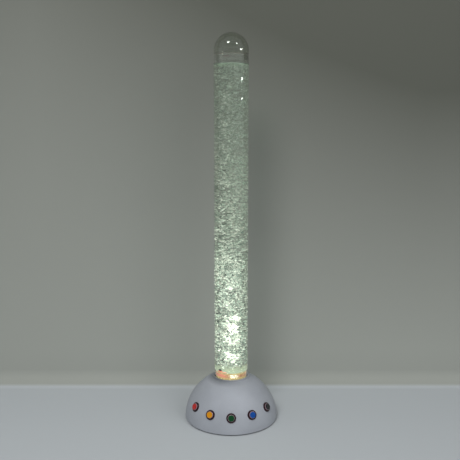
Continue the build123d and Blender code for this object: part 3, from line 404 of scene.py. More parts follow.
def silver_paint(add):
    """Silver-grey paint sprayed on a moulded dome: satin, with fine metal flake, faint orange peel and
    painted shade round the neck.
    """
    look = bpy.context.scene.housing_looks
    colour, rough = look.paint_colour, look.paint_roughness
    flake = noise(add, 0.6, 1)
    uneven = add("range", (noise(add, 60, 3), *SPAN, 0, 1))
    body = add("blend", (uneven, shaded(colour, 0.93), shaded(colour, 1.05)))
    sparkle = add("range", (flake, 0.58, 0.75, 0, 0.35))
    paint = add("blend", (sparkle, body, shaded(colour, 1.5)))
    # A ring of painted shade where the neck meets the dome, stronger on the left
    ring = add("range", (from_axis(add), 0.045, 0.058, 1, 0))
    shade_side = add("range", (place_of(add)["X"], -0.025, 0.03, 0.62, 0.15))
    neck_shade = add("multiply", (ring, shade_side))
    inputs = {
        "Base Color": add("blend", (neck_shade, paint, "#54585A")),
        "Metallic": 0.15,
        "Roughness": add("range", (flake, *SPAN, rough * 0.9, rough * 1.1)),
        "Normal": add("bump", (noise(add, 2.4), 0.04 * MM, 0.2)),
    }
    return add("surface", inputs)


def coloured_cap(add, code, glow):
    """A translucent moulded button cap: deep colour, polished, with a faint painted glow all over."""
    inputs = {
        "Base Color": add("blend", (noise(add, 4), shaded(code, 0.8), shaded(code, 1.25))),
        "Roughness": add("range", (noise(add, 1.5), *SPAN, 0.16, 0.26)),
        "IOR": 1.49,
        "Coat Weight": 0.5,
        "Coat Roughness": 0.05,
        # Painted glow: the cap gives off a little light of its own colour
        "Emission Color": code,
        "Emission Strength": glow,
    }
    return add("surface", inputs)


def brushed_metal(add, code, roughness, run_mm):
    """Plated or turned metal: fine lines left by the tool."""
    lines = noise(add, run_mm, 3, stretch=(1, 1, 6))
    inputs = {
        "Base Color": add("blend", (lines, shaded(code, 0.85), shaded(code, 1.1))),
        "Metallic": 1.0,
        "Roughness": add("range", (lines, *SPAN, roughness * 0.8, roughness * 1.2)),
        "Normal": add("bump", (lines, 0.02 * MM, 0.2)),
    }
    return add("surface", inputs)


def lamp_face(add):
    """Emitters under their lenses: green-white phosphor, too bright to show its grain."""
    phosphor = noise(add, 0.8, 1)
    inputs = {
        "Base Color": add("blend", (phosphor, "#D8E8C0", "#FBFFF2")),
        "Roughness": 0.3,
        "Emission Color": "#E4FFE0",
        "Emission Strength": add("range", (phosphor, *SPAN, 5.0, 8.0)),
    }
    return add("surface", inputs)


def studio_paint(add):
    """Matt wall paint, pale on the floor and grey on the wall, darker higher up with painted shade, and with
    a faint roller texture.
    """
    look = bpy.context.scene.stage_looks
    place = place_of(add)
    on_wall = add("range", (place["Y"], 0.172, 0.182, 0, 1))
    lower = add("blend", (on_wall, look.floor_colour, look.wall_colour))
    # Painted shade: darker high up, and more so on the right
    shade_rightwards = add("range", (place["X"], -0.5, 0.5, 0.8, 1.45))
    high = add("multiply", (add("range", (place["Z"], 0.1, 1.1, 0, 1)), shade_rightwards))
    inputs = {
        "Base Color": add("blend", (high, lower, look.wall_shade_colour)),
        "Roughness": 0.85,
        "Normal": add("bump", (noise(add, 12, 3), 0.3 * MM, 0.15)),
    }
    # Seen from behind it isn't there, so that the object's back can be looked at
    behind = add("ShaderNodeNewGeometry", out="Backfacing")
    unseen = add("ShaderNodeBsdfTransparent")
    return add("ShaderNodeMixShader", (behind, add("surface", inputs), unseen))


# Mesh helpers


def new_piece(name, mesh, finish, body="root"):
    """Links a mesh as a piece with one material, at the origin, that rides on a body, if it is given one."""
    made = bpy.data.objects.new(name, mesh)
    bpy.context.scene.collection.objects.link(made)
    mesh.materials.clear()
    mesh.materials.append(finish)
    if body:
        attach(made, body)
    return made


def giving_copy(name, node, finish, slot, body, fixed, moving):
    """Stands for a springy CAD node with a smoothed copy of its mesh, which rides on no body."""
    mesh = nodes[node].data.copy()
    whole = bmesh.new()
    whole.from_mesh(mesh)
    bmesh.ops.remove_doubles(whole, verts=whole.verts, dist=0.001 * MM)
    whole.to_mesh(mesh)
    whole.free()
    mesh.name = name
    mesh.shade_smooth()
    mesh.set_sharp_from_angle(angle=math.radians(SMOOTH_ANGLE))
    made = new_piece(name, mesh, finish, None)
    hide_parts(node)
    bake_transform(made)


def with_supports(outline, shortest=4 * MM, inset=0.3 * MM):
    """The outline with a point near each end of its long runs, which keeps their shading level."""
    points = []
    for start, end in zip(outline, outline[1:] + outline[:1]):
        points.append(start)
        length = math.dist(start, end)
        if length > shortest:
            for share in (inset / length, 1 - inset / length):
                points.append(tuple(a + (b - a) * share for a, b in zip(start, end)))
    return points


def turned_mesh(name, outline, steps, smooth_angle=SMOOTH_ANGLE):
    """A closed mesh turned round the tube's axis from (radius, height) points, outline anticlockwise."""
    points, rows = [], []
    for radius, height in with_supports(outline):
        if radius < ON_AXIS:
            rows.append([len(points)] * steps)
            points.append((0, 0, height))
            continue
        row = []
        for step in range(steps):
            angle = 2 * math.pi * step / steps
            row.append(len(points))
            points.append((radius * math.cos(angle), radius * math.sin(angle), height))
        rows.append(row)
    faces = []
    for lower, upper in zip(rows, rows[1:] + rows[:1]):
        if lower[0] == lower[1] and upper[0] == upper[1]:
            continue
        for step in range(steps):
            after = (step + 1) % steps
            corners = [lower[step], lower[after], upper[after], upper[step]]
            kept = list(dict.fromkeys(corners))
            if len(kept) > 2:
                faces.append(kept)
    mesh = bpy.data.meshes.new(name)
    mesh.from_pydata(points, [], faces)
    mesh.update()
    mesh.shade_smooth()
    mesh.set_sharp_from_angle(angle=math.radians(smooth_angle))
    return mesh


def arc(centre, radius, start, end, count):
    """Points of an arc in the (radius, height) plane, angles in degrees."""
    turns = [math.radians(start + (end - start) * index / count) for index in range(count + 1)]
    return [(centre[0] + radius * math.cos(turn), centre[1] + radius * math.sin(turn)) for turn in turns]


def rounded_corner(corner, radius, quarter):
    """A small rounded corner; quarter 0 faces out and up, then on anticlockwise."""
    signs = ((1, 1), (-1, 1), (-1, -1), (1, -1))[quarter]
    centre = (corner[0] - signs[0] * radius, corner[1] - signs[1] * radius)
    return arc(centre, radius, 90 * quarter, 90 * quarter + 90, CORNER_STEPS)


# Geometry Nodes for the bubbles


def new_tree(name, inputs):
    """A geometry tree with named inputs and their defaults, whole numbers where the default is one."""
    tree = bpy.data.node_groups.new(name, "GeometryNodeTree")
    tree.interface.new_socket(name="Geometry", in_out="OUTPUT", socket_type="NodeSocketGeometry")
    for label, default in inputs.items():
        kind = "NodeSocketInt" if isinstance(default, int) else "NodeSocketFloat"
        tree.interface.new_socket(name=label, in_out="INPUT", socket_type=kind).default_value = default
    return tree


def grow(name, tree, values, finish):
    """Runs a geometry tree with those inputs and returns the result as a plain piece on the root body."""
    host = bpy.data.objects.new(name, bpy.data.meshes.new(name + "_host"))
    bpy.context.scene.collection.objects.link(host)
    modifier = host.modifiers.new("Grow", "NODES")
    modifier.node_group = tree
    sockets = {item.name: item.identifier for item in tree.interface.items_tree if item.in_out == "INPUT"}
    for label, value in values.items():
        modifier[sockets[label]] = value
    graph = bpy.context.evaluated_depsgraph_get()
    mesh = bpy.data.meshes.new_from_object(host.evaluated_get(graph))
    host.modifiers.remove(modifier)
    bpy.data.objects.remove(host)
    mesh.name = name
    return new_piece(name, mesh, finish)


def random_between(add, low, high, seed, salt):
    """A random number for each bubble, from its index, the tree's seed and a salt of its own."""
    own_seed = add("add", (seed, float(salt)))
    return add("FunctionNodeRandomValue", {"Min": low, "Max": high, "Seed": own_seed}, 1)


def instanced(add, segments, rings, places, size, flatness, tilt, glint):
    """One flattened sphere at each place, made real; it carries its own glint and knows its lower side."""
    ball = {"Segments": segments, "Rings": rings, "Radius": 1.0}
    bubble = add("GeometryNodeMeshUVSphere", ball)
    # 1 on the bubble's lower side, which catches the lamp's light, 0 from its middle up
    on_it = add("ShaderNodeSeparateXYZ", (add("GeometryNodeInputPosition"),), "Z")
    lowness = add("minimum", (add("multiply", (on_it, -1.5)), 1.0))
    sided = {"Geometry": bubble, "Name": "low_side", "Value": add("maximum", (lowness, 0.0))}
    bubble = add("GeometryNodeStoreNamedAttribute", sided, data_type="FLOAT", domain="POINT")
    shape = add("ShaderNodeCombineXYZ", (size, size, add("multiply", (size, flatness))))
    spread = {"Points": places, "Instance": bubble, "Rotation": tilt, "Scale": shape}
    placed = add("GeometryNodeInstanceOnPoints", spread)
    lit = {"Geometry": placed, "Name": "glint", "Value": glint}
    placed = add("GeometryNodeStoreNamedAttribute", lit, data_type="FLOAT", domain="INSTANCE")
    return add("GeometryNodeRealizeInstances", {"Geometry": placed})


def finished(add, geometry, finish):
    """Smooth shading, the material and the group's output."""
    smooth = add("GeometryNodeSetShadeSmooth", {"Geometry": geometry})
    dressed = add("GeometryNodeSetMaterial", {"Geometry": smooth, "Material": finish})
    add("NodeGroupOutput", {"Geometry": dressed}, None)


def bubble_tree(finish, segments=6, rings=4):
    """Bubbles scattered through the water, each flattened and turned, some of them torn by the stream."""
    inputs = {"Count": 100, "Radius": 0.03, "Foot": 0.1, "Top": 0.8, "Smallest": 0.8 * MM, "Largest": 2 * MM}
    inputs |= {"Gathering": 0.5, "Flatness": 0.7, "Tearing": 0.0, "Right": 0.0, "Forward": 0.0, "Seed": 0}
    tree = new_tree("Scattered bubbles", inputs)
    add = partial(add_node, tree)
    given = add("NodeGroupInput", out=None)
    seed, smallest = given["Seed"], given["Smallest"]
    share = add("power", (random_between(add, 0.0, 1.0, seed, 2), given["Gathering"]))
    reach = add("multiply", (share, given["Radius"]))
    turn = random_between(add, 0.0, 2 * math.pi, seed, 1)
    across = add("multiply", (reach, add("cosine", (turn,))))
    along = add("multiply", (reach, add("sine", (turn,))))
    place = (
        add("add", (across, given["Right"])),
        add("subtract", (along, given["Forward"])),
        random_between(add, given["Foot"], given["Top"], seed, 3),
    )
    position = add("ShaderNodeCombineXYZ", place)
    spots = add("GeometryNodePoints", {"Count": given["Count"], "Position": position})
    # Most are small
    chance = add("power", (random_between(add, 0.0, 1.0, seed, 4), 2.0))
    growth = add("multiply", (chance, add("subtract", (given["Largest"], smallest))))
    size = add("add", (growth, smallest))
    lean = 0.55  # radians, either way
    turns = ((-lean, lean, 5), (-lean, lean, 6), (0.0, 2 * math.pi, 7))
    tilts = [random_between(add, low, high, seed, salt) for low, high, salt in turns]
    tilt = add("ShaderNodeCombineXYZ", tilts)
    glint = random_between(add, 0.0, 1.0, seed, 8)
    real = instanced(add, segments, rings, spots, size, given["Flatness"], tilt, glint)
    # Large bubbles are torn out of round by the stream
    wobble = add("ShaderNodeTexNoise", {"Scale": 220.0, "Detail": 1.0}, "Color")
    centred = add("ShaderNodeVectorMath", (wobble, (0.5, 0.5, 0.5)), operation="SUBTRACT")
    pull = {0: centred, "Scale": add("multiply", (given["Tearing"], 3.0))}
    offset = add("ShaderNodeVectorMath", pull, operation="SCALE")
    torn = add("GeometryNodeSetPosition", {"Geometry": real, "Offset": offset})
    finished(add, torn, finish)
    return tree


def spiral_tree(finish):
    """Bubbles set out on a spiral, one golden angle after the other, their sizes taken in turn."""
    inputs = {"First": 0, "Count": 120, "Reach": 0.031, "Foot": 0.127, "Rise": 2 * MM, "Seed": 0}
    tree = new_tree("Rising bubbles", inputs)
    add = partial(add_node, tree)
    given = add("NodeGroupInput", out=None)
    index = add("add", (add("GeometryNodeInputIndex"), given["First"]))
    chance = add("fract", (add("multiply", (index, math.sqrt(2))),))
    reach = add("multiply", (add("sqrt", (chance,)), given["Reach"]))
    turn = add("multiply", (index, math.radians(GOLDEN_ANGLE)))
    climb = add("multiply", (add("add", (index, 0.5)), given["Rise"]))
    place = (
        add("multiply", (reach, add("sine", (turn,)))),
        product(add, reach, add("cosine", (turn,)), -1.0),
        add("add", (given["Foot"], climb)),
    )
    position = add("ShaderNodeCombineXYZ", place)
    spots = add("GeometryNodePoints", {"Count": given["Count"], "Position": position})
    sizes = add("GeometryNodeIndexSwitch", data_type="FLOAT").node
    while len(sizes.index_switch_items) < len(RISING_RADII):
        sizes.index_switch_items.new()
    tree.links.new(add("modulo", (index, float(len(RISING_RADII)))), sizes.inputs[0])
    for slot, radius in zip(sizes.inputs[1:], RISING_RADII):
        slot.default_value = radius
    untilted = add("ShaderNodeCombineXYZ")
    glint = random_between(add, 0.0, 1.0, given["Seed"], 8)
    real = instanced(add, 10, 6, spots, sizes.outputs[0], RISING_FLATNESS, untilted, glint)
    finished(add, real, finish)
    return tree


# Settings that a user would change

COLOUR = {"subtype": "COLOR", "min": 0, "max": 1}


class StageLooks(bpy.types.PropertyGroup):
    """The studio round the object."""

    floor_colour: bpy.props.FloatVectorProperty(
        name="Floor", description="Colour of the floor", default=linear("#ABB0B3"), **COLOUR
    )
    wall_colour: bpy.props.FloatVectorProperty(
        name="Wall", description="Colour of the backdrop low down", default=linear("#92958F"), **COLOUR
    )
    # The backdrop's colour high up, which is painted shade
    wall_shade_colour: bpy.props.FloatVectorProperty(
        name="Wall, top", description="Colour of the backdrop high up", default=linear("#4D4F48"), **COLOUR
    )
    key_power: bpy.props.FloatProperty(
        name="Key light", description="Power of the soft key light", default=33.0, min=0, unit="POWER"
    )
    world_strength: bpy.props.FloatProperty(
        name="Fill", description="Strength of the even light from all round", default=0.5, min=0
    )


class HousingLooks(bpy.types.PropertyGroup):
    """The paint of the domed housing."""

    paint_colour: bpy.props.FloatVectorProperty(
        name="Paint", description="Colour of the silver paint", default=linear("#9CA0A7"), **COLOUR
    )
    paint_roughness: bpy.props.FloatProperty(
        name="Roughness", description="How satin the paint is", default=0.55, min=0, max=1, subtype="FACTOR"
    )


class BubbleLooks(bpy.types.PropertyGroup):
    """The bubbles and the light that they carry."""

    bubble_count: bpy.props.IntProperty(
        name="Bubbles", description="Bubbles in each third of the tube", default=4400, min=0
    )
    smallest: bpy.props.FloatProperty(
        name="Smallest", description="Half width of the finest bubbles", default=0.0009, min=0, unit="LENGTH"
    )
    largest: bpy.props.FloatProperty(
        name="Largest", description="Half width of the coarsest bubbles", default=0.0036, min=0, unit="LENGTH"
    )
    glow_colour: bpy.props.FloatVectorProperty(
        name="Glow", description="Colour of the lamp's light", default=linear("#FBFBF0"), **COLOUR
    )
    glow_strength: bpy.props.FloatProperty(
        name="Glow at the foot", description="Light on the lowest bubbles", default=4.2, min=0
    )
    glow_most: bpy.props.FloatProperty(
        name="Most glow", description="Light that no bubble goes past", default=1.9, min=0
    )
    glow_reach: bpy.props.FloatProperty(
        name="Glow reach",
        description="Height over which the light falls to a third",
        default=0.25,
        min=0,
        unit="LENGTH",
    )
    surface_glow: bpy.props.FloatProperty(
        name="Surface glow", description="Green light at the water's surface", default=0.02, min=0
    )
    clear_foot: bpy.props.FloatProperty(
        name="Clear foot",
        description="Water over the plug that holds no bubbles",
        default=0.009,
        min=0,
        unit="LENGTH",
    )
    plume_count: bpy.props.IntProperty(
        name="Plume", description="Large bubbles in the plume over the air inlet", default=160, min=0
    )
    froth_count: bpy.props.IntProperty(
        name="Froth", description="Small bubbles on the water's surface", default=260, min=0
    )


# One operator for each piece or group of like pieces


class BUBBLETUBE_OT_stage(bpy.types.Operator):
    """Makes the camera, the pale floor and backdrop, and the soft lights"""

    bl_idname = "bubbletube.stage"
    bl_label = "Stage"

    def execute(self, context):
        look = context.scene.stage_looks
        self.make_camera(context)
        self.make_backdrop(context)
        self.make_lights(context, look)
        self.make_world(context, look)
        context.scene.view_settings.view_transform = "Standard"
        return {"FINISHED"}

    def make_camera(self, context):
        """The camera stands where the photograph was taken from."""
        lens = bpy.data.cameras.new("camera")
        lens.sensor_width = SENSOR_MM
        lens.lens = SENSOR_MM * FOCAL_PIXELS / FRAME_PIXELS
        camera = bpy.data.objects.new("camera", lens)
        camera.location = CAMERA_PLACE
        camera.rotation_euler = (math.radians(90 - CAMERA_TILT), 0, 0)
        context.scene.collection.objects.link(camera)
        context.scene.camera = camera

    def make_backdrop(self, context):
        """A floor that curves up into a wall behind the object."""
        half_width, front, back, bend, height = 3.0, -3.0, 0.2, 0.04, 3.0
        line = [(front, 0.0)]
        for step in range(BEND_STEPS + 1):
            turn = math.radians(90 * step / BEND_STEPS)
            line.append((back - bend + bend * math.sin(turn), bend - bend * math.cos(turn)))
        line.append((back, height))
        points = [(side * half_width, y, z) for y, z in line for side in (-1, 1)]
        faces = [(2 * i, 2 * i + 1, 2 * i + 3, 2 * i + 2) for i in range(len(line) - 1)]
        mesh = bpy.data.meshes.new("backdrop")
        mesh.from_pydata(points, [], faces)
        mesh.shade_smooth()
        backdrop = bpy.data.objects.new("backdrop", mesh)
        context.scene.collection.objects.link(backdrop)
        mesh.materials.append(material("Painted studio backdrop", studio_paint))

    def make_lights(self, context, look):
        """One broad key, a weaker fill, and small lamps on the ceiling and at the side for the highlights."""
        # Each one's place, width, height and power
        lamps = {
            "key": ((-0.55, -1.5, 1.9), 0.8, 0.8, look.key_power),
            "fill": ((1.2, -1.6, 1.3), 1.2, 1.2, look.key_power * 0.4),
            "ceiling_left": ((-0.51, -1.1, 2.12), 0.2, 0.22, 6.0),
            "ceiling_right": ((0.99, -1.03, 1.84), 0.2, 0.2, 6.0),
            "window_top": ((1.85, -0.82, 1.132), 0.1, 0.04, 1.3),
            "window_high": ((1.93, -0.61, 0.968), 0.1, 0.03, 0.55),
            "window_low": ((1.93, -0.61, 0.864), 0.1, 0.02, 0.4),
        }
        for name, (place, width, height, power) in lamps.items():
            lamp = bpy.data.lights.new(name, "AREA")
            lamp.shape = "RECTANGLE"
            lamp.size, lamp.size_y = width, height
            lamp.energy = power
            holder = bpy.data.objects.new(name, lamp)
            holder.location = place
            way = Vector(LAMPS_AIM) - Vector(place)
            holder.rotation_euler = way.to_track_quat("-Z", "Y").to_euler()
            # The two soft lamps give light alone. Only the small ones are mirrored in the clear pieces.
            holder.visible_glossy = holder.visible_transmission = name not in ("key", "fill")
            holder.visible_diffuse = name in ("key", "fill")
            context.scene.collection.objects.link(holder)

    def make_world(self, context, look):
        """Even light all round."""
        world = bpy.data.worlds.new("studio")
        world.use_nodes = True
        world.node_tree.nodes.clear()
        add = partial(add_node, world.node_tree)
        # Glossy surfaces mirror a dimmer room than the one that lights them and that glass lets through
        path = add("ShaderNodeLightPath", out=None)
        mirrored = add("subtract", (path["Is Glossy Ray"], path["Is Transmission Ray"]))
        seen = add("range", (mirrored, 0, 1, look.world_strength, MIRRORED_SHARE * look.world_strength))
        sky = add("ShaderNodeBackground", {"Color": "#F2F4F5", "Strength": seen})
        add("ShaderNodeOutputWorld", {"Surface": sky}, None)
        context.scene.world = world


class BUBBLETUBE_OT_housing(bpy.types.Operator):
    """Finishes the housing, its underside, the power inlet and the pieces that spring"""

    bl_idname = "bubbletube.housing"
    bl_label = "Housing"

    def execute(self, context):
        # Satin two-pack paint over moulded ABS: soft highlight, no mirror
        dress(material("Silver paint on moulded ABS", silver_paint), "dome_housing")
        # Spark-textured black ABS: dull, with a fine even grain
        dress(material("Black ABS with spark texture", moulded, "#17181A", 0.62, 0.8, 0.08), "bottom_plate")
        # Moulded rubber: dull and slightly dusty
        rubber = material("Moulded black rubber", moulded, "#1B1B1B", 0.8, 1.2, 0.1, spread=0.3)
        dress(rubber, "rubber_feet", "pump_mounts")
        self.make_bellows(rubber)
        # Zinc-plated steel: bluish grey, satin
        zinc = material("Zinc-plated steel", brushed_metal, "#B9BDC2", 0.32, 0.6)
        dress(zinc, "housing_screws", "socket_screws", "jack_nut", "pump_pivot_pin")
        for colour in CAP_CODES:
            self.make_spring(colour, zinc)
        # Glossy black nylon round the power inlet
        dress(material("Black nylon, moulded", moulded, "#141416", 0.35, 0.7), "power_jack")
        return {"FINISHED"}

    def make_bellows(self, rubber):
        """A plain copy of the pump's bellows, which on the pump the arm squeezes and draws out."""
        low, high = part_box("pump_bellows")
        middle = (low + high) / 2
        fixed = joints["arm_rock"]["deforming_nodes"][0]["fixed_end_x_m"]
        moving = max(low.x, high.x, key=lambda end: abs(end - fixed))
        ends = [(end, middle.y, middle.z) for end in (fixed, moving)]
        giving_copy("bellows", "pump_bellows", rubber, "black_rubber", "arm", *ends)

    def make_spring(self, colour, zinc):
        """A plain copy of a button's return spring, which on the button shortens as it is pressed."""
        node = f"button_spring_{colour}"
        way = Vector(joints[f"{colour}_press"]["axis"])
        low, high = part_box(node)
        middle = (low + high) / 2
        along = [(corner.co - middle).dot(way) for corner in nodes[node].data.vertices]
        ends = [middle + way * reach for reach in (max(along), min(along))]
        giving_copy(f"return_spring_{colour}", node, zinc, "steel", f"button_{colour}", *ends)


class BUBBLETUBE_OT_tube(bpy.types.Operator):
    """Makes the clear tube and the domed cap with polished edges, and finishes the cap's seal"""

    bl_idname = "bubbletube.tube"
    bl_label = "Tube and cap"

    def execute(self, context):
        self.make_tube(material("Cast acrylic, polished", cast_acrylic))
        self.make_cap(material("Blow-formed acrylic, polished", acrylic_with_trace))
        dress(material("Clear silicone gasket", clear_gasket), "cap_seal")
        return {"FINISHED"}

    def make_tube(self, acrylic):
        """The tube with its ends' edges flame-polished round."""
        inner, edge = BORE_RADIUS + 0.1 * MM, 0.6 * MM
        corners = ((TUBE_RADIUS, TUBE_TOP), (inner, TUBE_TOP), (inner, TUBE_FOOT), (TUBE_RADIUS, TUBE_FOOT))
        outline = []
        for quarter, corner in enumerate(corners):
            outline += rounded_corner(corner, edge, quarter)
        tube = new_piece("tube_wall", turned_mesh("tube_wall", outline, TUBE_STEPS), acrylic)
        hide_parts("clear_tube")

    def make_cap(self, acrylic):
        """The blow-formed cap: a dome on a short skirt, with the spigot that drops into the tube."""
        lowest = level("top_cap", 0)
        centre = (0, CAP_TOP - TUBE_RADIUS)
        wall, edge, play = 2.5 * MM, 0.5 * MM, 0.2 * MM
        hollow = TUBE_RADIUS - wall
        spigot = BORE_RADIUS - play
        spigot_bore = spigot - wall
        outline = [
            *arc(centre, TUBE_RADIUS, 0, 90, DOME_STEPS),
            *arc(centre, hollow, 90, 0, DOME_STEPS),
            (hollow, CAP_SEAL_TOP + wall + edge),
            (hollow - edge, CAP_SEAL_TOP + wall),
            (spigot_bore, CAP_SEAL_TOP + wall),
            (spigot_bore, lowest),
            (spigot, lowest),
            (spigot, CAP_SEAL_TOP),
            *rounded_corner((TUBE_RADIUS, CAP_SEAL_TOP), edge, 3),
        ]
        # Outside and inside, the dome meets the axis in a point
        for pole in (DOME_STEPS, DOME_STEPS + 1):
            outline[pole] = (0, outline[pole][1])
        cap = new_piece("cap_dome", turned_mesh("cap_dome", outline, CAP_STEPS), acrylic, "cap")
        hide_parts("top_cap")


class BUBBLETUBE_OT_water(bpy.types.Operator):
    """Makes the water, with its surface drawn up at the wall"""

    bl_idname = "bubbletube.water"
    bl_label = "Water"

    def execute(self, context):
        # The water meets the wall and the plug with no air between, so its mesh reaches a hair into them
        radius, foot = BORE_RADIUS + 0.13 * MM, WATER_FOOT - 0.05 * MM
        climb, reach, steepness, steps = 1.6 * MM, 5 * MM, 3.2, 6
        outline = [(0, foot), (radius, foot), (radius, WATER_TOP + climb)]
        for step in range(1, steps + 1):
            inward = reach * step / steps
            outline.append((radius - inward, WATER_TOP + climb * math.exp(-steepness * inward / reach)))
        outline.append((0, WATER_TOP))
        finish = material("Water, lit from below", still_water)
        water = new_piece("water", turned_mesh("water", outline, TUBE_STEPS), finish)
        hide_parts("water_column")
        return {"FINISHED"}


class BUBBLETUBE_OT_bubbles(bpy.types.Operator):
    """Scatters the rising bubbles through the water with geometry nodes"""

    bl_idname = "bubbletube.bubbles"
    bl_label = "Bubbles"

    def execute(self, context):
        look = context.scene.bubble_looks
        reach = BORE_RADIUS - 4 * MM
        self.make_stream(look, reach)
        self.make_plume(look)
        self.make_froth(look, reach)
        return {"FINISHED"}

    def make_stream(self, look, reach):
        """The stream in three thirds: fine bubbles, and among them the larger ones on their spiral."""
        low, high = WATER_FOOT + 2 * MM, WATER_TOP - 2 * MM
        overlap = 35 * MM
        # How flat they are, and their looks: fainter and softer the higher they are
        thirds = {
            "lower": (0.6, (0.9, "#4C5950", "#AAB6A8", 0.75)),
            "middle": (0.5, (0.7, "#606E62", "#A9B5A7")),
            "upper": (0.4, (0.45, "#78867A", "#A2AEA0")),
        }
        third, share = (high - low) / len(thirds), RISING_COUNT // len(thirds)
        for index, (part, (flatness, looks)) in enumerate(thirds.items()):
            finish = material(f"Air bubbles in lit water, {part}", air_bubbles, *looks)
            sizes = {
                "Count": look.bubble_count,
                "Radius": reach,
                "Foot": low + index * third - overlap if index else low + look.clear_foot,
                "Top": min(low + (index + 1) * third + overlap, high),
                "Smallest": look.smallest,
                "Largest": look.largest * STREAM_SCALE,
                "Flatness": flatness,
                "Seed": 10 + index,
            }
            grow(f"bubbles_{part}", bubble_tree(finish), sizes, finish)
            turns = {
                "First": index * share,
                "Count": share,
                "Reach": BORE_RADIUS - RISING_WALL_GAP - max(RISING_RADII),
                "Foot": WATER_FOOT + RISING_END_GAP,
                "Rise": (WATER_TOP - WATER_FOOT - 2 * RISING_END_GAP) / RISING_COUNT,
                "Seed": 20 + index,
            }
            rising = grow(f"rising_{part}", spiral_tree(finish), turns, finish)
            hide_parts("water_column")

    def make_plume(self, look):
        """The plume over the air inlet: large torn bubbles in the middle, lit white all over."""
        looks = (1.0, "#6F7B6A", "#C4CDBD", 0.2, 0.9)
        finish = material("Air bubbles in lit water, plume", air_bubbles, *looks)
        # Each part's foot and top over the plug in mm, its share of the bubbles and its seed
        parts = {"plume_low": (24, 46, 0.22, 31), "plume_high": (66, 134, 0.78, 37)}
        for name, (foot, top, share, seed) in parts.items():
            sizes = {
                "Count": round(look.plume_count * share),
                "Radius": 15 * MM,
                "Foot": WATER_FOOT + foot * MM,
                "Top": WATER_FOOT + top * MM,
                "Smallest": 1.6 * MM,
                "Largest": 5.6 * MM,
                "Flatness": 0.62,
                "Tearing": 3.6 * MM,
                "Right": 1 * MM,
                "Forward": 12 * MM,
                "Seed": seed,
            }
            grow(name, bubble_tree(finish, 10, 8), sizes, finish)

    def make_froth(self, look, reach):
        """Froth that rests on the surface, most of it at the wall."""
        finish = material("Air bubbles in lit water, froth", air_bubbles, 0.6, "#7A8C78", "#A9BBA4")
        sizes = {
            "Count": look.froth_count,
            "Radius": reach,
            "Foot": WATER_TOP - 1.4 * MM,
            "Top": WATER_TOP - 0.6 * MM,
            "Smallest": 0.5 * MM,
            "Largest": 1.3 * MM,
            "Gathering": 0.18,
            "Seed": 47,
        }
        grow("surface_froth", bubble_tree(finish), sizes, finish)


class BUBBLETUBE_OT_plug(bpy.types.Operator):
    """Finishes the plug, its seal, the air inlet and the lamp under them"""

    bl_idname = "bubbletube.plug"
    bl_label = "Plug and lamp"

    def execute(self, context):
        dress(material("Acrylic plug, lit", lit_acrylic), "tube_plug")
        dress(material("Orange silicone, cast in place", seal_with_leak), "plug_seal")
        dress(material("Salmon silicone", silicone, "#E88F76", 0.25), "air_inlet")
        self.make_valve(material("Black silicone valve", moulded, "#0D1110", 0.45, 0.8))
        dress(material("LED emitters, lit", lamp_face), "led_emitters")
        # White solder mask, lit from above
        dress(material("White solder mask", moulded, "#D9DEDA", 0.4, 0.7), "led_board")
        return {"FINISHED"}

    def make_valve(self, rubber):
        """The valve's lips: a black domed button on the air inlet's top."""
        low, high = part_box("inlet_valve")
        centre = (low + high) / 2
        radius, foot = 3.9 * MM, level("air_inlet", 1) + 0.05 * MM
        outline = [(0, foot), (radius, foot), *arc((0, foot), radius, 10, 90, 8)]
        outline[-1] = (0, outline[-1][1])
        mesh = turned_mesh("valve_lips", outline, VALVE_STEPS, smooth_angle=60)
        mesh.transform(Matrix.Translation((centre.x, centre.y, 0)))
        valve = new_piece("valve_lips", mesh, rubber)
        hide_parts("inlet_valve")


class BUBBLETUBE_OT_buttons(bpy.types.Operator):
    """Finishes the five push buttons: bezel, ring and coloured cap"""

    bl_idname = "bubbletube.buttons"
    bl_label = "Buttons"

    def execute(self, context):
        # Polished black ABS, faintly maroon where light grazes it
        bezel = material("Black ABS bezel, polished", moulded, "#24060F", 0.3, 0.6, 0.01, ior=1.4)
        # Pale moulded ring, painted slightly pink as a reflection of the bezel round it
        ring = material("Pale nylon ring", moulded, "#85767C", 0.25, 0.6, 0.01, coat=0.5)
        for colour, code in CAP_CODES.items():
            dress(bezel, f"button_body_{colour}")
            dress(ring, f"button_plunger_{colour}")
            dress(material(f"Moulded cap, {colour}", coloured_cap, code, 0.08), f"button_cap_{colour}")
        return {"FINISHED"}


class BUBBLETUBE_OT_inside(bpy.types.Operator):
    """Finishes the pieces inside the housing"""

    bl_idname = "bubbletube.inside"
    bl_label = "Inside"

    def execute(self, context):
        # Moulded and drawn parts that only a bench shows: plain, with their own grain
        black = ("button_nuts", "button_contact_blocks", "pump_case", "pump_cover", "board_components")
        white = ("lamp_holder", "air_fitting", "pump_arm")
        finishes = {
            "Grey ABS": (moulded, "#8C9094", 0.55, 0.8, ("tube_socket", "pump_valve_box")),
            "White ABS": (moulded, "#E2E2DE", 0.5, 0.8, white),
            "Black ABS": (moulded, "#1A1B1D", 0.5, 0.8, black),
            "Green solder mask": (moulded, "#14502A", 0.35, 0.6, ("control_board",)),
            "Tinned brass": (brushed_metal, "#C9A35A", 0.3, 0.5, ("button_terminals",)),
            "Laminated steel": (brushed_metal, "#4A4B4E", 0.5, 0.5, ("pump_core",)),
            "Enamelled copper wire": (brushed_metal, "#8E4524", 0.35, 0.4, ("pump_coil",)),
            "Sintered magnet": (brushed_metal, "#5A5B5E", 0.45, 0.8, ("pump_magnet",)),
            "Clear silicone hose": (moulded, "#C9CFCD", 0.35, 1.0, ("air_hose",)),
            "Black PVC sheath": (moulded, "#161616", 0.5, 0.6, CABLES),
        }
        for name, (recipe, *settings, members) in finishes.items():
            dress(material(name, recipe, *settings), *members)
        return {"FINISHED"}


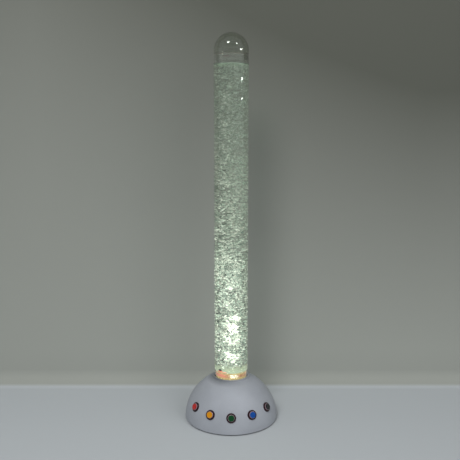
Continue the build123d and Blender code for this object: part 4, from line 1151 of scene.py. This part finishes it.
def dress(finish, *names):
    """Gives CAD nodes their material."""
    for name in names:
        mesh = nodes[name].data
        mesh.materials.clear()
        mesh.materials.append(finish)


class BUBBLETUBE_PT_panel(bpy.types.Panel):
    """Lists the operators and their settings"""

    bl_idname = "BUBBLETUBE_PT_panel"
    bl_label = "Bubble tube"
    bl_space_type = "VIEW_3D"
    bl_region_type = "UI"
    bl_category = "Bubble tube"

    def draw(self, context):
        for operator in OPERATORS:
            self.layout.operator(operator.bl_idname)
        for group in (context.scene.stage_looks, context.scene.housing_looks, context.scene.bubble_looks):
            box = self.layout.box()
            for name in group.bl_rna.properties.keys():
                if name not in ("name", "rna_type"):
                    box.prop(group, name)


OPERATORS = (
    BUBBLETUBE_OT_stage,
    BUBBLETUBE_OT_housing,
    BUBBLETUBE_OT_tube,
    BUBBLETUBE_OT_water,
    BUBBLETUBE_OT_bubbles,
    BUBBLETUBE_OT_plug,
    BUBBLETUBE_OT_buttons,
    BUBBLETUBE_OT_inside,
)
CLASSES = (StageLooks, HousingLooks, BubbleLooks, *OPERATORS, BUBBLETUBE_PT_panel)


def register():
    """Registers the classes and puts their settings on the scene."""
    for item in CLASSES:
        bpy.utils.register_class(item)
    bpy.types.Scene.stage_looks = bpy.props.PointerProperty(type=StageLooks)
    bpy.types.Scene.housing_looks = bpy.props.PointerProperty(type=HousingLooks)
    bpy.types.Scene.bubble_looks = bpy.props.PointerProperty(type=BubbleLooks)


def unregister():
    """Takes the settings and the classes away again."""
    del bpy.types.Scene.bubble_looks
    del bpy.types.Scene.housing_looks
    del bpy.types.Scene.stage_looks
    for item in reversed(CLASSES):
        bpy.utils.unregister_class(item)


def main():
    """Dresses the part."""
    register()
    bpy.ops.bubbletube.stage()
    bpy.ops.bubbletube.housing()
    bpy.ops.bubbletube.tube()
    bpy.ops.bubbletube.water()
    bpy.ops.bubbletube.bubbles()
    bpy.ops.bubbletube.plug()
    bpy.ops.bubbletube.buttons()
    bpy.ops.bubbletube.inside()


if __name__ == "__main__":
    main()
